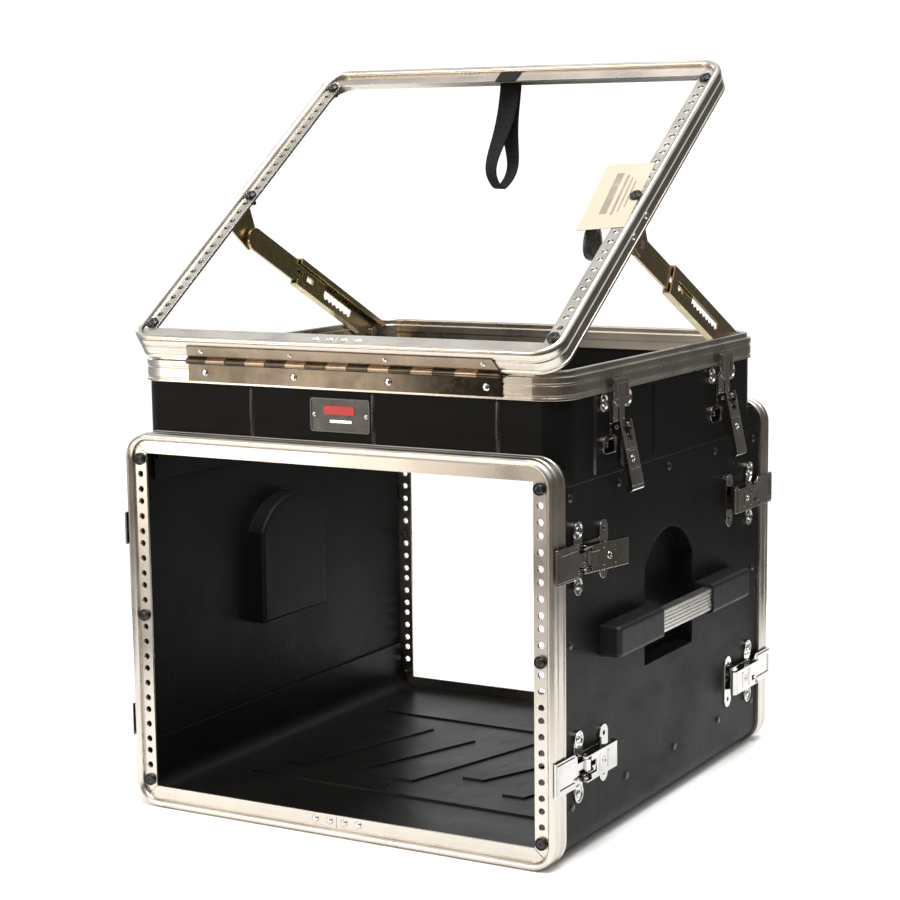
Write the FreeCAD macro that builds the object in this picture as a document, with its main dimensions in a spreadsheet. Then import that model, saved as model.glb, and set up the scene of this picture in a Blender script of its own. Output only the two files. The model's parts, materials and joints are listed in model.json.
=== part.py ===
# Slant-top equipment rack case: an eight-unit front and rear bay in a moulded body, with a ten-unit
# top frame that tips up on a piano hinge and is held by two telescopic stays.
# Millimetres. +X is the case's right side, +Y its back, +Z up. The origin is on the resting surface,
# at the centre of the case's footprint. The model stands as in use with the top frame tipped up.
import FreeCAD, Part
import math
import os

import Sketcher
from FreeCAD import Placement, Rotation, Vector

doc = FreeCAD.newDocument("rack_case")
sheet = doc.addObject("Spreadsheet::Sheet", "Sizes")

# Driving dimensions: alias, value, what it is.
SIZES = [
    ("rack_unit", 44.45, "height of one rack unit"),
    ("body_units", 8, "rack units in the front and rear bays"),
    ("lid_units", 10, "rack units in the tipping top frame"),
    ("rack_gap", 450, "clear width between rack rails"),
    ("hole_spread", 465.1, "distance between the two hole columns"),
    ("end_hole", 6.35, "first hole from the end of the rail"),
    ("mid_hole", 22.225, "second hole of a unit"),
    ("hole_radius", 3.3, "radius of a rail hole"),
    ("case_depth", 536, "front rail face to rear rail face"),
    ("frame_half_wide", 248.5, "half the outside width of a bay frame"),
    ("frame_half_high", 199.5, "half the outside height of a bay frame"),
    ("frame_round", 27, "outside corner radius of a frame"),
    ("rail_thick", 2.5, "thickness of the rail flange"),
    ("bead_high", 6, "bead crest above the rail face"),
    ("bead_wide", 8.6, "bead inner edge from the outside face"),
    ("band_thick", 3.6, "thickness of the side band"),
    ("bay_band", 20.8, "rail face to the back lip of a bay frame"),
    ("latch_line", 22, "rail face to the line the side latches are set out from"),
    ("lid_band", 19.5, "rail face to the lower lip of the top frame's band"),
    ("lid_half_wide", 248, "half the outside width of the tipping frame"),
    ("lid_end_flange", 23.7, "flange at each end of the tipping frame"),
    ("lid_angle", 34.6, "tilt of the top frame as it stands, in degrees"),
    ("collar_front", -251.5, "front face of the seat frame and of the closed lid"),
    ("seat_lip", 450.5, "lower lip of the seat frame"),
    ("seat_shoulder", 473.0, "shoulder of the seat frame that the lid lands on"),
    ("seat_tongue", 478.5, "top of the seat frame's tongue"),
    ("seat_round", 32, "outside corner radius of the seat frame"),
    ("wall", 2.6, "thickness of the moulded panels"),
    ("body_half_wide", 244.8, "half the outside width of the side panels"),
    ("body_half_deep", 264.5, "half the length of the side panels"),
    ("panel_low", 25, "lower edge of a side panel"),
    ("panel_high", 368, "upper edge of a side panel"),
    ("floor_low", 3.8, "underside of the floor tray"),
    ("tray_lip_high", 66, "upper edge of the tray's side lips"),
    ("deck_high", 395.2, "top of the deck round the collar"),
    ("pocket_half", 61, "half the width of a handle pocket"),
    ("pocket_low", 159, "lower edge of a handle pocket"),
    ("pocket_spring", 260, "where the pocket's arch springs"),
    ("pocket_top", 294, "crown of the pocket's arch"),
    ("pocket_deep", 20, "depth of a handle pocket"),
    ("handle_mid", 206.5, "height of the handle's centre line"),
    ("cap_long", 104, "length of a handle cap"),
    ("cap_high", 32, "height of a handle cap"),
    ("cap_out", 23, "stand-off of a handle cap"),
    ("grip_long", 166, "length of the grip bar with its hidden ends"),
    ("grip_gap", 129, "visible length of the grip bar"),
    ("grip_high", 22.6, "height of the grip bar"),
    ("hinge_half", 181.5, "half the length of the piano hinge"),
    ("hinge_shift", 3, "how far the hinge sits off centre"),
    ("leaf_thick", 1.2, "thickness of a hinge leaf"),
    ("barrel_radius", 3.0, "outside radius of the hinge barrel"),
    ("hinge_pin_radius", 1.2, "radius of the hinge pin"),
    ("lower_leaf", 20.5, "height of the lower leaf"),
    ("upper_leaf", 17.5, "height of the upper leaf"),
    ("knuckles", 15, "knuckles along the hinge"),
    ("sheet_steel", 1.5, "thickness of the latch steel"),
    ("lever_open", 100, "opening travel of a latch lever, in degrees"),
    ("arm_pivot_y", 196.5, "stay pivot on the seat frame, front to back"),
    ("arm_pivot_z", 465.5, "stay pivot on the seat frame, height"),
    ("arm_reach", 198.3, "stay pivot on the lid, from its first hole along the rail"),
    ("arm_drop", 41, "stay pivot on the lid, below the rail face"),
    ("channel_long", 187, "length of the stay's channel ahead of its pivot"),
    ("channel_high", 31.5, "height of the stay's channel"),
    ("rod_high", 25, "height of the stay's sliding bar"),
    ("rod_long", 152, "length of the stay's sliding bar behind its eye"),
    ("strap_wide", 25, "width of the pull strap"),
    ("strap_long", 134, "hanging length of the pull strap"),
]
for row, (alias, value, note) in enumerate(SIZES, start=1):
    sheet.set("A%d" % row, note)
    sheet.set("B%d" % row, str(value))
    sheet.setAlias("B%d" % row, alias)
doc.recompute()


def size(expression):
    """Value of a sheet cell or of an expression over the sheet."""
    return float(sheet.evalExpression(expression))


def get(alias):
    """Value of one driving dimension."""
    return size("Sizes." + alias if not alias.startswith("Sizes.") else alias)


nodes = {}


def node(name, item):
    """Names an object as one separate sub-part of the case."""
    item.Label = name
    nodes[name] = item
    return item


def shape_node(name, shape):
    """A sub-part whose shape is worked out here from the sheet's sizes."""
    item = doc.addObject("Part::Feature", name)
    item.Shape = shape
    return node(name, item)


# ---------------------------------------------------------------- parametric building blocks
def origin_plane(body, role):
    """One of a body's own origin planes."""
    return next(f for f in body.Origin.OriginFeatures if f.Role == role)


def new_body(name):
    """An empty body, for a piece that is made by sketches and features."""
    return doc.addObject("PartDesign::Body", name)


def new_sketch(body, name, role, offset="0"):
    """A sketch on one of the body's origin planes, moved along its normal."""
    sketch = body.newObject("Sketcher::SketchObject", name)
    sketch.AttachmentSupport = [(origin_plane(body, role), "")]
    sketch.MapMode = "FlatFace"
    sketch.setExpression("AttachmentOffset.Base.z", offset)
    return sketch


def pin_point(sketch, geometry, end, across, up):
    """Holds one end of a line at a place given by two expressions."""
    for kind, text in (("DistanceX", across), ("DistanceY", up)):
        value = float(sketch.evalExpression(text))
        index = sketch.addConstraint(Sketcher.Constraint(kind, -1, 1, geometry, end, value))
        sketch.setExpression("Constraints[%d]" % index, text)


def outline(sketch, corners):
    """A closed outline of straight lines through corners given as pairs of expressions."""
    first = sketch.GeometryCount
    points = [Vector(float(sketch.evalExpression(a)), float(sketch.evalExpression(b)), 0)
              for a, b in corners]
    count = len(points)
    for i in range(count):
        sketch.addGeometry(Part.LineSegment(points[i], points[(i + 1) % count]))
    for i in range(count):
        sketch.addConstraint(Sketcher.Constraint("Coincident", first + i, 2, first + (i + 1) % count, 1))
    for i, (a, b) in enumerate(corners):
        pin_point(sketch, first + i, 1, a, b)


def rectangle(sketch, left, low, right, high):
    """A rectangle whose four sides are expressions."""
    outline(sketch, [(left, low), (right, low), (right, high), (left, high)])


def circle(sketch, across, up, radius):
    """A circle whose centre and radius are expressions."""
    x, y, r = (float(sketch.evalExpression(t)) for t in (across, up, radius))
    index = sketch.addGeometry(Part.Circle(Vector(x, y, 0), Vector(0, 0, 1), r))
    pin_point(sketch, index, 3, across, up)
    number = sketch.addConstraint(Sketcher.Constraint("Radius", index, r))
    sketch.setExpression("Constraints[%d]" % number, radius)


def pad(body, sketch, name, length, back=False):
    """Pads a sketch by an expression, along or against its normal."""
    feature = body.newObject("PartDesign::Pad", name)
    feature.Profile = sketch
    feature.setExpression("Length", length)
    feature.Reversed = back
    sketch.Visibility = False
    doc.recompute()
    return feature


def pocket(body, sketch, name, length, back=False):
    """Cuts a sketch out of the body by an expression, and checks that something was cut."""
    before = body.Shape.Volume
    feature = body.newObject("PartDesign::Pocket", name)
    feature.Profile = sketch
    feature.setExpression("Length", length)
    feature.Reversed = back
    doc.recompute()
    assert body.Shape.Volume < before - 1e-6, name + " cuts nothing"
    return feature


def round_edges(body, name, radius, chosen):
    """Fillets the edges of the body's tip that a test picks."""
    tip = body.Tip
    edges = ["Edge%d" % (i + 1) for i, e in enumerate(tip.Shape.Edges) if chosen(e)]
    feature = body.newObject("PartDesign::Fillet", name)
    feature.Base = (tip, edges)
    feature.setExpression("Radius", radius)
    doc.recompute()
    return feature


def along(edge, axis):
    """Whether an edge is straight and runs along an axis."""
    if not isinstance(edge.Curve, (Part.Line, Part.LineSegment)):
        return False
    return abs(abs((edge.lastVertex().Point - edge.firstVertex().Point).normalize().dot(axis)) - 1) < 1e-6


X_AXIS = Vector(1, 0, 0)
Y_AXIS = Vector(0, 1, 0)
Z_AXIS = Vector(0, 0, 1)


# ---------------------------------------------------------------- aluminium frames
def rounded_path(half_wide, half_high, radius):
    """Closed rounded rectangle in the XY plane that starts at the middle of its lower side."""
    w, h, r = half_wide, half_high, radius
    d = r * math.sqrt(0.5)
    corners = [(w - r, r - h, 1, -1), (w - r, h - r, 1, 1), (r - w, h - r, -1, 1), (r - w, r - h, -1, -1)]
    edges = []
    here = Vector(0, -h, 0)
    for x, y, sx, sy in corners:
        ends = [Vector(x, y + sy * r, 0), Vector(x + sx * r, y, 0)]
        if sx * sy > 0:
            ends.reverse()
        edges.append(Part.LineSegment(here, ends[0]).toShape())
        middle = Vector(x + sx * d, y + sy * d, 0)
        edges.append(Part.Arc(ends[0], middle, ends[1]).toShape())
        here = ends[1]
    edges.append(Part.LineSegment(here, Vector(0, -h, 0)).toShape())
    return Part.Wire(edges)


def swept_ring(half_wide, half_high, radius, profile):
    """Sweeps a profile of (inward, up) points round a rounded rectangle; a triple marks an arc."""
    def place(point):
        return Vector(0, point[0] - half_high, point[1])
    edges = []
    here = place(profile[0])
    for step in profile[1:] + [profile[0]]:
        if len(step) == 3:
            through, end = place(step[1]), place(step[2])
            edges.append(Part.Arc(here, through, end).toShape())
            here = end
        else:
            end = place(step)
            edges.append(Part.LineSegment(here, end).toShape())
            here = end
    path = rounded_path(half_wide, half_high, radius)
    return path.makePipeShell([Part.Wire(edges)], True, False)


def band_profile(depth):
    """Section of a rack frame's outer part: grooved side band, lip and rounded bead."""
    bead, wide, thick = get("bead_high"), get("bead_wide"), get("band_thick")
    return [
        (0.2, -depth), (0.0, -depth + 0.3), (0.0, -depth + 2.4), (0.9, -depth + 3.0),
        (0.9, -depth + 4.4), (0.3, -depth + 5.0), (0.3, -6.6), (1.3, -5.6), (1.3, -4.2),
        (0.2, -3.2), (0.2, 0.6),
        ("arc", (1.4, bead - 1.6), (4.4, bead)),
        ("arc", (wide - 1.6, bead - 1.6), (wide, 1.0)),
        (wide, -get("rail_thick")), (thick, -get("rail_thick")), (thick, -depth),
    ]


def rack_holes(units, length):
    """Hole centres (across, along) of both rails, measured from the middle of the opening."""
    places = []
    for side in (-1, 1):
        for unit in range(units):
            base = unit * get("rack_unit") - length / 2
            for offset in (get("end_hole"), get("mid_hole"), get("rack_unit") - get("end_hole")):
                places.append((side * get("hole_spread") / 2, base + offset))
    return places


def rack_frame(half_wide, half_high, units, depth):
    """A rack frame: swept band and bead, rails with their holes, mitre lines and a butt joint."""
    length = units * get("rack_unit")
    gap, thick, wide = get("rack_gap"), get("rail_thick"), get("bead_wide")
    ring = swept_ring(half_wide, half_high, get("frame_round"), band_profile(depth))
    inset = wide - 2.0
    plate = Part.Face(rounded_path(half_wide - inset, half_high - inset, get("frame_round") - inset))
    plate = plate.extrude(Vector(0, 0, thick))
    plate.translate(Vector(0, 0, -thick))
    opening = Part.makeBox(gap, length, 4 * thick, Vector(-gap / 2, -length / 2, -2 * thick))
    frame = ring.fuse(plate.cut(opening)).removeSplitter()
    cutters = [Part.makeCylinder(get("hole_radius"), 4 * thick, Vector(x, y, -2 * thick))
               for x, y in rack_holes(units, length)]
    line_wide, line_deep = 0.6, 0.7
    reach = (half_wide - gap / 2) - wide
    for sx in (-1, 1):
        for sy in (-1, 1):
            rise = (half_high - length / 2) - wide
            run = math.hypot(reach, rise)
            line = Part.makeBox(run + 1.0, line_wide, line_deep + 1.0,
                                Vector(-0.5, -line_wide / 2, -line_deep))
            turn = math.degrees(math.atan2(sy * rise, sx * reach))
            line.Placement = Placement(Vector(sx * gap / 2, sy * length / 2, 0), Rotation(Z_AXIS, turn))
            cutters.append(line)
    butt = Part.makeBox(0.5, half_high - length / 2 - 0.6, 1.2, Vector(-0.25, -half_high - 0.1, -0.7))
    cutters.append(butt)
    return frame.cut(Part.makeCompound(cutters)).removeSplitter()


body_length = size("Sizes.body_units * Sizes.rack_unit")
lid_length = size("Sizes.lid_units * Sizes.rack_unit")
half_depth = get("case_depth") / 2
rack_mid = get("frame_half_high")
UPRIGHT = Rotation(X_AXIS, 90)
FACING_FRONT = Placement(Vector(0, -half_depth, rack_mid), UPRIGHT)
FACING_REAR = Placement(Vector(0, half_depth, rack_mid), Rotation(Z_AXIS, 180) * UPRIGHT)

bay_frame = rack_frame(get("frame_half_wide"), get("frame_half_high"), int(get("body_units")),
                       get("bay_band"))
for name, where in (("front_frame", FACING_FRONT), ("rear_frame", FACING_REAR)):
    shape_node(name, bay_frame.copy()).Placement = where

# The closed lid lies on the seat frame's shoulder. The hinge pin is in front of both faces.
LAND_GAP = 0.6
lid_half_long = lid_length / 2 + get("lid_end_flange")
seat_front = get("collar_front")
seat_mid = seat_front + lid_half_long
pin_y = seat_front - get("barrel_radius") - 0.4
pin_z = get("seat_shoulder") + LAND_GAP / 2
lid_face = get("seat_shoulder") + LAND_GAP + get("lid_band")
PIN = Vector(0, pin_y, pin_z)
LID_CLOSED = Placement(Vector(0, seat_mid, lid_face), Rotation())
TILT = Placement(Vector(), Rotation(X_AXIS, get("lid_angle")), PIN)
LID = TILT.multiply(LID_CLOSED)

lid_shape = rack_frame(get("lid_half_wide"), lid_half_long, int(get("lid_units")), get("lid_band"))
shape_node("lid_frame", lid_shape).Placement = LID


def seat_profile():
    """Section of the seat frame: grooved outer skin, shoulder, rounded tongue, inner skin, wall slot."""
    lip, shoulder, tongue = get("seat_lip"), get("seat_shoulder"), get("seat_tongue")
    return [
        (0.2, lip), (0.0, lip + 0.3), (0.0, lip + 2.4), (0.9, lip + 3.0), (0.9, lip + 4.4),
        (0.3, lip + 5.0), (0.3, shoulder - 8.6), (1.2, shoulder - 8.0), (1.2, shoulder - 6.6),
        (0.1, shoulder - 6.0), (0.1, shoulder - 0.8), (0.9, shoulder),
        (4.2, shoulder), (4.2, tongue - 1.6),
        ("arc", (6.3, tongue), (8.4, tongue - 1.6)),
        (8.4, shoulder - 1.0), (9.4, shoulder - 2.0), (9.4, shoulder - 10), (8.6, shoulder - 11),
        (8.6, lip + 2.0), (6.3, lip + 2.0), (6.3, shoulder - 4.6), (3.2, shoulder - 4.6), (3.2, lip),
    ]


seat = swept_ring(get("lid_half_wide"), lid_half_long, get("seat_round"), seat_profile())
seat_frame = shape_node("seat_frame", seat)
seat_frame.Placement = Placement(Vector(0, seat_mid, 0), Rotation())



# ---------------------------------------------------------------- primitives bound to the sheet
def block(left, right, front, back, low, high):
    """A box between six planes, each a number or an expression over the sheet."""
    item = doc.addObject("Part::Box", "block")
    for axis, near, far, length in (("x", left, right, "Length"), ("y", front, back, "Width"),
                                    ("z", low, high, "Height")):
        item.setExpression("Placement.Base." + axis, str(near))
        item.setExpression(length, "(%s) - (%s)" % (far, near))
    return item


def barrel(radius, length, start, axis):
    """A cylinder from a start point along an axis; radius, length and start are expressions."""
    item = doc.addObject("Part::Cylinder", "barrel")
    item.setExpression("Radius", str(radius))
    item.setExpression("Height", str(length))
    item.Placement = Placement(Vector(), Rotation(Z_AXIS, axis))
    for name, text in zip("xyz", start):
        item.setExpression("Placement.Base." + name, str(text))
    return item


def fuse(*items):
    """Joins objects into one."""
    item = doc.addObject("Part::MultiFuse", "fuse")
    item.Shapes = list(items)
    item.Refine = True
    return item


def cut(base, *tools):
    """Cuts tools out of a base object."""
    item = doc.addObject("Part::Cut", "cut")
    item.Base = base
    item.Tool = tools[0] if len(tools) == 1 else together(*tools)
    item.Refine = True
    return item


def together(*items):
    """Keeps objects side by side in one compound."""
    item = doc.addObject("Part::Compound", "together")
    item.Links = list(items)
    return item


def mirrored(item):
    """The same piece on the other side of the case's middle plane."""
    twin = doc.addObject("Part::Mirroring", "twin")
    twin.Source = item
    twin.Normal = X_AXIS
    return twin


def softened(item, radius, chosen):
    """Rounds the edges of an object that a test picks."""
    doc.recompute()
    rounded = doc.addObject("Part::Fillet", "softened")
    rounded.Base = item
    rounded.Edges = [(i + 1, radius, radius) for i, e in enumerate(item.Shape.Edges) if chosen(e)]
    return rounded


def placed(name, item, where):
    """A named sub-part that is one master piece put in its place."""
    copy = node(name, together(item))
    copy.Placement = where
    return copy


def scattered(name, masters, places):
    """A named group of separate copies of finished master shapes."""
    doc.recompute()
    copies = []
    for where in places:
        for master in masters:
            piece = master.copy()
            piece.Placement = where
            copies.append(piece)
    return shape_node(name, Part.makeCompound(copies))


def turned(points):
    """A solid of revolution about Z from (radius, height) corners."""
    wire = Part.makePolygon([Vector(r, 0, z) for r, z in points + points[:1]])
    return Part.Face(wire).revolve(Vector(), Z_AXIS, 360)


def facing(point, out, turn=0):
    """A placement whose Z points out of a wall at a point."""
    return Placement(Vector(*point), Rotation(Z_AXIS, out) * Rotation(Z_AXIS, turn))


# ---------------------------------------------------------------- moulded body
def floor_tray():
    """Floor with turned-up sides and a raised pattern of slanted bars between two long ridges."""
    body = new_body("floor_body")
    inner, lift = "Sizes.body_half_wide - 2 * Sizes.wall - 0.2", "Sizes.floor_low + Sizes.wall + 0.2"
    outer = "Sizes.body_half_wide - Sizes.wall - 0.2"
    top = "Sizes.tray_lip_high"
    section = new_sketch(body, "floor_section", "XZ_Plane", "-Sizes.body_half_deep + 0.5")
    outline(section, [
        ("-(%s)" % outer, top), ("-(%s)" % outer, lift), (outer, lift), (outer, top), (inner, top),
        (inner, lift + " + Sizes.wall"), ("-(%s)" % inner, lift + " + Sizes.wall"), ("-(%s)" % inner, top),
    ])
    pad(body, section, "floor_pad", "2 * Sizes.body_half_deep - 1")
    low = size(lift)
    round_edges(body, "floor_outer_round", "Sizes.frame_round - Sizes.band_thick - Sizes.wall - 0.4",
                lambda e: along(e, Y_AXIS) and abs(e.CenterOfMass.z - low) < 0.01)
    round_edges(body, "floor_inner_round", "Sizes.frame_round - Sizes.band_thick - 2 * Sizes.wall - 0.4",
                lambda e: along(e, Y_AXIS) and abs(e.CenterOfMass.z - low - get("wall")) < 0.01)
    relief = new_sketch(body, "floor_relief", "XY_Plane", lift + " + Sizes.wall - 0.2")
    lengths = (96, 74, 96, 60, 96)
    for i, reach in enumerate(lengths):
        middle = (i - (len(lengths) - 1) / 2) * 68
        lean = 26
        outline(relief, [(str(middle - 13 - lean), str(-reach)), (str(middle + 13 - lean), str(-reach)),
                         (str(middle + 13 + lean), str(reach)), (str(middle - 13 + lean), str(reach))])
    for side in (-1, 1):
        outline(relief, [("-190", str(side * 142)), ("190", str(side * 134)), ("190", str(side * 150))])
    pad(body, relief, "relief_pad", "2")
    return node("floor_tray", body)


def arch(sketch, half, low, spring, top):
    """An upright opening with straight sides and an arched crown."""
    w, z0, z1, z2 = (float(sketch.evalExpression(t)) for t in (half, low, spring, top))
    rise = z2 - z1
    radius = (w * w + rise * rise) / (2 * rise)
    spread = math.asin(w / radius)
    first = sketch.GeometryCount
    for a, b in (((-w, z1), (-w, z0)), ((-w, z0), (w, z0)), ((w, z0), (w, z1))):
        sketch.addGeometry(Part.LineSegment(Vector(*a, 0), Vector(*b, 0)))
    crown = Part.Circle(Vector(0, z2 - radius, 0), Z_AXIS, radius)
    sketch.addGeometry(Part.ArcOfCircle(crown, math.pi / 2 - spread, math.pi / 2 + spread))
    for a, ea, b, eb in ((0, 2, 1, 1), (1, 2, 2, 1), (2, 2, 3, 1), (3, 2, 0, 1)):
        sketch.addConstraint(Sketcher.Constraint("Coincident", first + a, ea, first + b, eb))
    pin_point(sketch, first, 1, "-(%s)" % half, spring)
    pin_point(sketch, first + 1, 1, "-(%s)" % half, low)
    pin_point(sketch, first + 2, 1, half, low)
    pin_point(sketch, first + 3, 1, half, spring)
    number = sketch.addConstraint(Sketcher.Constraint("Radius", first + 3, radius))
    sketch.setExpression("Constraints[%d]" % number,
                         "((%s) ^ 2 + (%s - %s) ^ 2) / (2 * (%s - %s))" % (half, top, spring, top, spring))


def side_panel():
    """Right side panel: flat wall with a turned-under foot and an arched handle pocket."""
    body = new_body("side_panel_body")
    skin, inside = "Sizes.body_half_wide", "Sizes.body_half_wide - Sizes.wall"
    low, high = "Sizes.floor_low", "Sizes.panel_high"
    section = new_sketch(body, "panel_section", "XZ_Plane", "-Sizes.body_half_deep")
    outline(section, [(skin, high), (inside, high), (inside, low + " + Sizes.wall"),
                      (skin + " - 48", low + " + Sizes.wall"), (skin + " - 48", low), (skin, low)])
    pad(body, section, "panel_pad", "2 * Sizes.body_half_deep")
    base = get("floor_low")
    round_edges(body, "panel_outer_round", "Sizes.frame_round - Sizes.band_thick - 0.2",
                lambda e: along(e, Y_AXIS) and abs(e.CenterOfMass.z - base) < 0.01 and e.CenterOfMass.x > 240)
    round_edges(body, "panel_inner_round", "Sizes.frame_round - Sizes.band_thick - Sizes.wall - 0.2",
                lambda e: along(e, Y_AXIS) and abs(e.CenterOfMass.z - base - get("wall")) < 0.01
                and e.CenterOfMass.x > 240)
    bulge = new_sketch(body, "pocket_shell", "YZ_Plane", inside + " + 0.5")
    arch(bulge, "Sizes.pocket_half + Sizes.wall", "Sizes.pocket_low - Sizes.wall", "Sizes.pocket_spring",
         "Sizes.pocket_top + Sizes.wall")
    pad(body, bulge, "pocket_shell_pad", "Sizes.pocket_deep + 0.5", back=True)
    hump = get("body_half_wide") - get("wall") - get("pocket_deep")
    round_edges(body, "pocket_shell_round", "4", lambda e: abs(e.CenterOfMass.x - hump) < 0.01)
    recess = new_sketch(body, "pocket_recess", "YZ_Plane", skin)
    arch(recess, "Sizes.pocket_half", "Sizes.pocket_low", "Sizes.pocket_spring", "Sizes.pocket_top")
    pocket(body, recess, "pocket_cut", "Sizes.pocket_deep")
    return body


def top_collar():
    """Raised collar that carries the seat frame, with the deck and shoulders it stands on."""
    skin = "Sizes.body_half_wide"
    shell = new_body("shoulder_body")
    low, high = "Sizes.panel_high + 0.3", "Sizes.deck_high"
    section = new_sketch(shell, "shoulder_section", "XZ_Plane", "-Sizes.body_half_deep")
    outline(section, [("-(%s)" % skin, low), ("-(%s)" % skin, high), (skin, high), (skin, low),
                      (skin + " - Sizes.wall", low), (skin + " - Sizes.wall", high + " - Sizes.wall"),
                      ("-(%s - Sizes.wall)" % skin, high + " - Sizes.wall"), ("-(%s - Sizes.wall)" % skin, low)])
    pad(shell, section, "shoulder_pad", "2 * Sizes.body_half_deep")
    roof = get("deck_high")
    round_edges(shell, "shoulder_outer_round", "Sizes.frame_round - Sizes.band_thick - 0.2",
                lambda e: along(e, Y_AXIS) and abs(e.CenterOfMass.z - roof) < 0.01)
    round_edges(shell, "shoulder_inner_round", "Sizes.frame_round - Sizes.band_thick - Sizes.wall - 0.2",
                lambda e: along(e, Y_AXIS) and abs(e.CenterOfMass.z - roof + get("wall")) < 0.01)

    slot_out, slot_in = 3.3, 6.2
    base, top = get("panel_high") + 0.3, get("seat_shoulder") - 4.8
    half_wide, round_out = get("lid_half_wide"), get("seat_round")

    def plan(inset, bottom, height):
        path = rounded_path(half_wide - inset, lid_half_long - inset, round_out - inset)
        solid = Part.Face(path).extrude(Vector(0, 0, height))
        solid.translate(Vector(0, seat_mid, bottom))
        return solid

    bore = plan(slot_in, base - 20, 160)
    front_face = Part.makeBox(600, 60, 200, Vector(-300, -half_depth + get("bay_band") + 0.1 - 60, base - 1))
    ring = plan(slot_out, base, top - base).cut([bore, front_face])
    passage = 226.0
    deck_under = get("deck_high") - get("wall")
    clear = Part.makeBox(2 * passage, 560, deck_under - base + 1, Vector(-passage, -280, base - 1))
    skirt_x = get("body_half_wide") - 2 * get("wall") - 0.2
    skirt = Part.makeBox(get("wall"), 470, 50, Vector(skirt_x, -235, 344))
    twin = skirt.mirror(Vector(), X_AXIS)
    whole = shell.Shape.cut(bore).fuse([ring.cut(clear), skirt, twin]).removeSplitter()
    groove_y, groove_z = -41.0, 377.5
    cutters = []
    for side in (-1, 1):
        edge = side * get("body_half_wide")
        bottom = edge - side * 1.3
        corners = [Vector(edge + side, groove_y - 5.5, groove_z), Vector(bottom, groove_y - 1.5, groove_z),
                   Vector(bottom, groove_y + 1.5, groove_z), Vector(edge + side, groove_y + 5.5, groove_z)]
        cutters.append(Part.Face(Part.makePolygon(corners + corners[:1])).extrude(Vector(0, 0, 69)))
    return shape_node("top_collar", whole.cut(cutters))


def badge():
    """Blank badge plate on the front of the collar, and its two screws."""
    wall_y = size("Sizes.bay_band + 0.1") - half_depth
    plate = block("-33.5", "36", "-Sizes.case_depth / 2 + Sizes.bay_band - 1.4",
                  "-Sizes.case_depth / 2 + Sizes.bay_band", "408.5", "442.5")
    plate = softened(plate, 3.0, lambda e: along(e, Y_AXIS))
    bores = [barrel(1.3, 6, (x, wall_y + 2, 425.5), Vector(0, -1, 0)) for x in (-29, 31.5)]
    node("badge_plate", cut(plate, *bores))
    screw = turned([(0, -1.3), (1.2, -1.3), (1.2, 0), (2.4, 0), (2.2, 0.6), (1.2, 1.1), (0, 1.3)])
    scattered("badge_screws", [screw],
              [facing((x, wall_y - 1.5, 425.5), Vector(0, -1, 0)) for x in (-29, 31.5)])


# ---------------------------------------------------------------- fastenings
def rack_screw():
    """Oval-head rack screw with a cross recess, head up."""
    body = turned([(0, -11), (2.3, -11), (2.8, -10), (2.8, 1.4), (4.9, 1.6), (5.0, 2.6), (3.6, 3.9),
                   (0, 4.4)])
    slots = [Part.makeBox(5.2, 1.1, 2.2, Vector(-2.6, -0.55, 2.8)),
             Part.makeBox(1.1, 5.2, 2.2, Vector(-0.55, -2.6, 2.8))]
    return body.cut(slots)


def cup_washer():
    """Cup washer under a rack screw."""
    return turned([(3.1, 0.05), (6.7, 0.05), (6.7, 0.6), (6.3, 2.9), (5.9, 3.2), (5.5, 2.9), (5.2, 1.2),
                   (3.1, 1.2)])


def dome(radius, height):
    """Dome rivet head, with a short tail into the wall behind it."""
    return turned([(0, 0), (radius, 0), (radius, 0.25 * height), (0.82 * radius, 0.68 * height),
                   (0.45 * radius, 0.94 * height), (0, height)])


def rail_places(units, rows):
    """Local centres of chosen holes, counted from the lower end of each rail."""
    holes = rack_holes(units, units * get("rack_unit"))
    per_side = 3 * units
    return [holes[side * per_side + row - 1] for side in (0, 1) for row in rows]


CARD_LIFT = 0.1
CARD_THICK = 0.5
CARD_TOP = CARD_LIFT + CARD_THICK + 0.05
CARD_SCREW = 4


def rail_screws():
    """Screws and cup washers on the rails of the three frames."""
    case_places = [frame.multiply(Placement(Vector(x, y, 0), Rotation(Z_AXIS, 23 * i)))
                   for frame in (FACING_FRONT, FACING_REAR)
                   for i, (x, y) in enumerate(rail_places(int(get("body_units")), (1, 13, 24)))]
    lid_places = []
    for i, (x, y) in enumerate(rail_places(int(get("lid_units")), (1, 16, 30))):
        under = CARD_TOP if i == CARD_SCREW else 0
        lid_places.append(LID.multiply(Placement(Vector(x, y, under), Rotation(Z_AXIS, 31 * i))))
    scattered("rack_screws_case", [rack_screw()], case_places)
    scattered("cup_washers_case", [cup_washer()], case_places)
    scattered("rack_screws_lid", [rack_screw()], lid_places)
    scattered("cup_washers_lid", [cup_washer()], lid_places)


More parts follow.
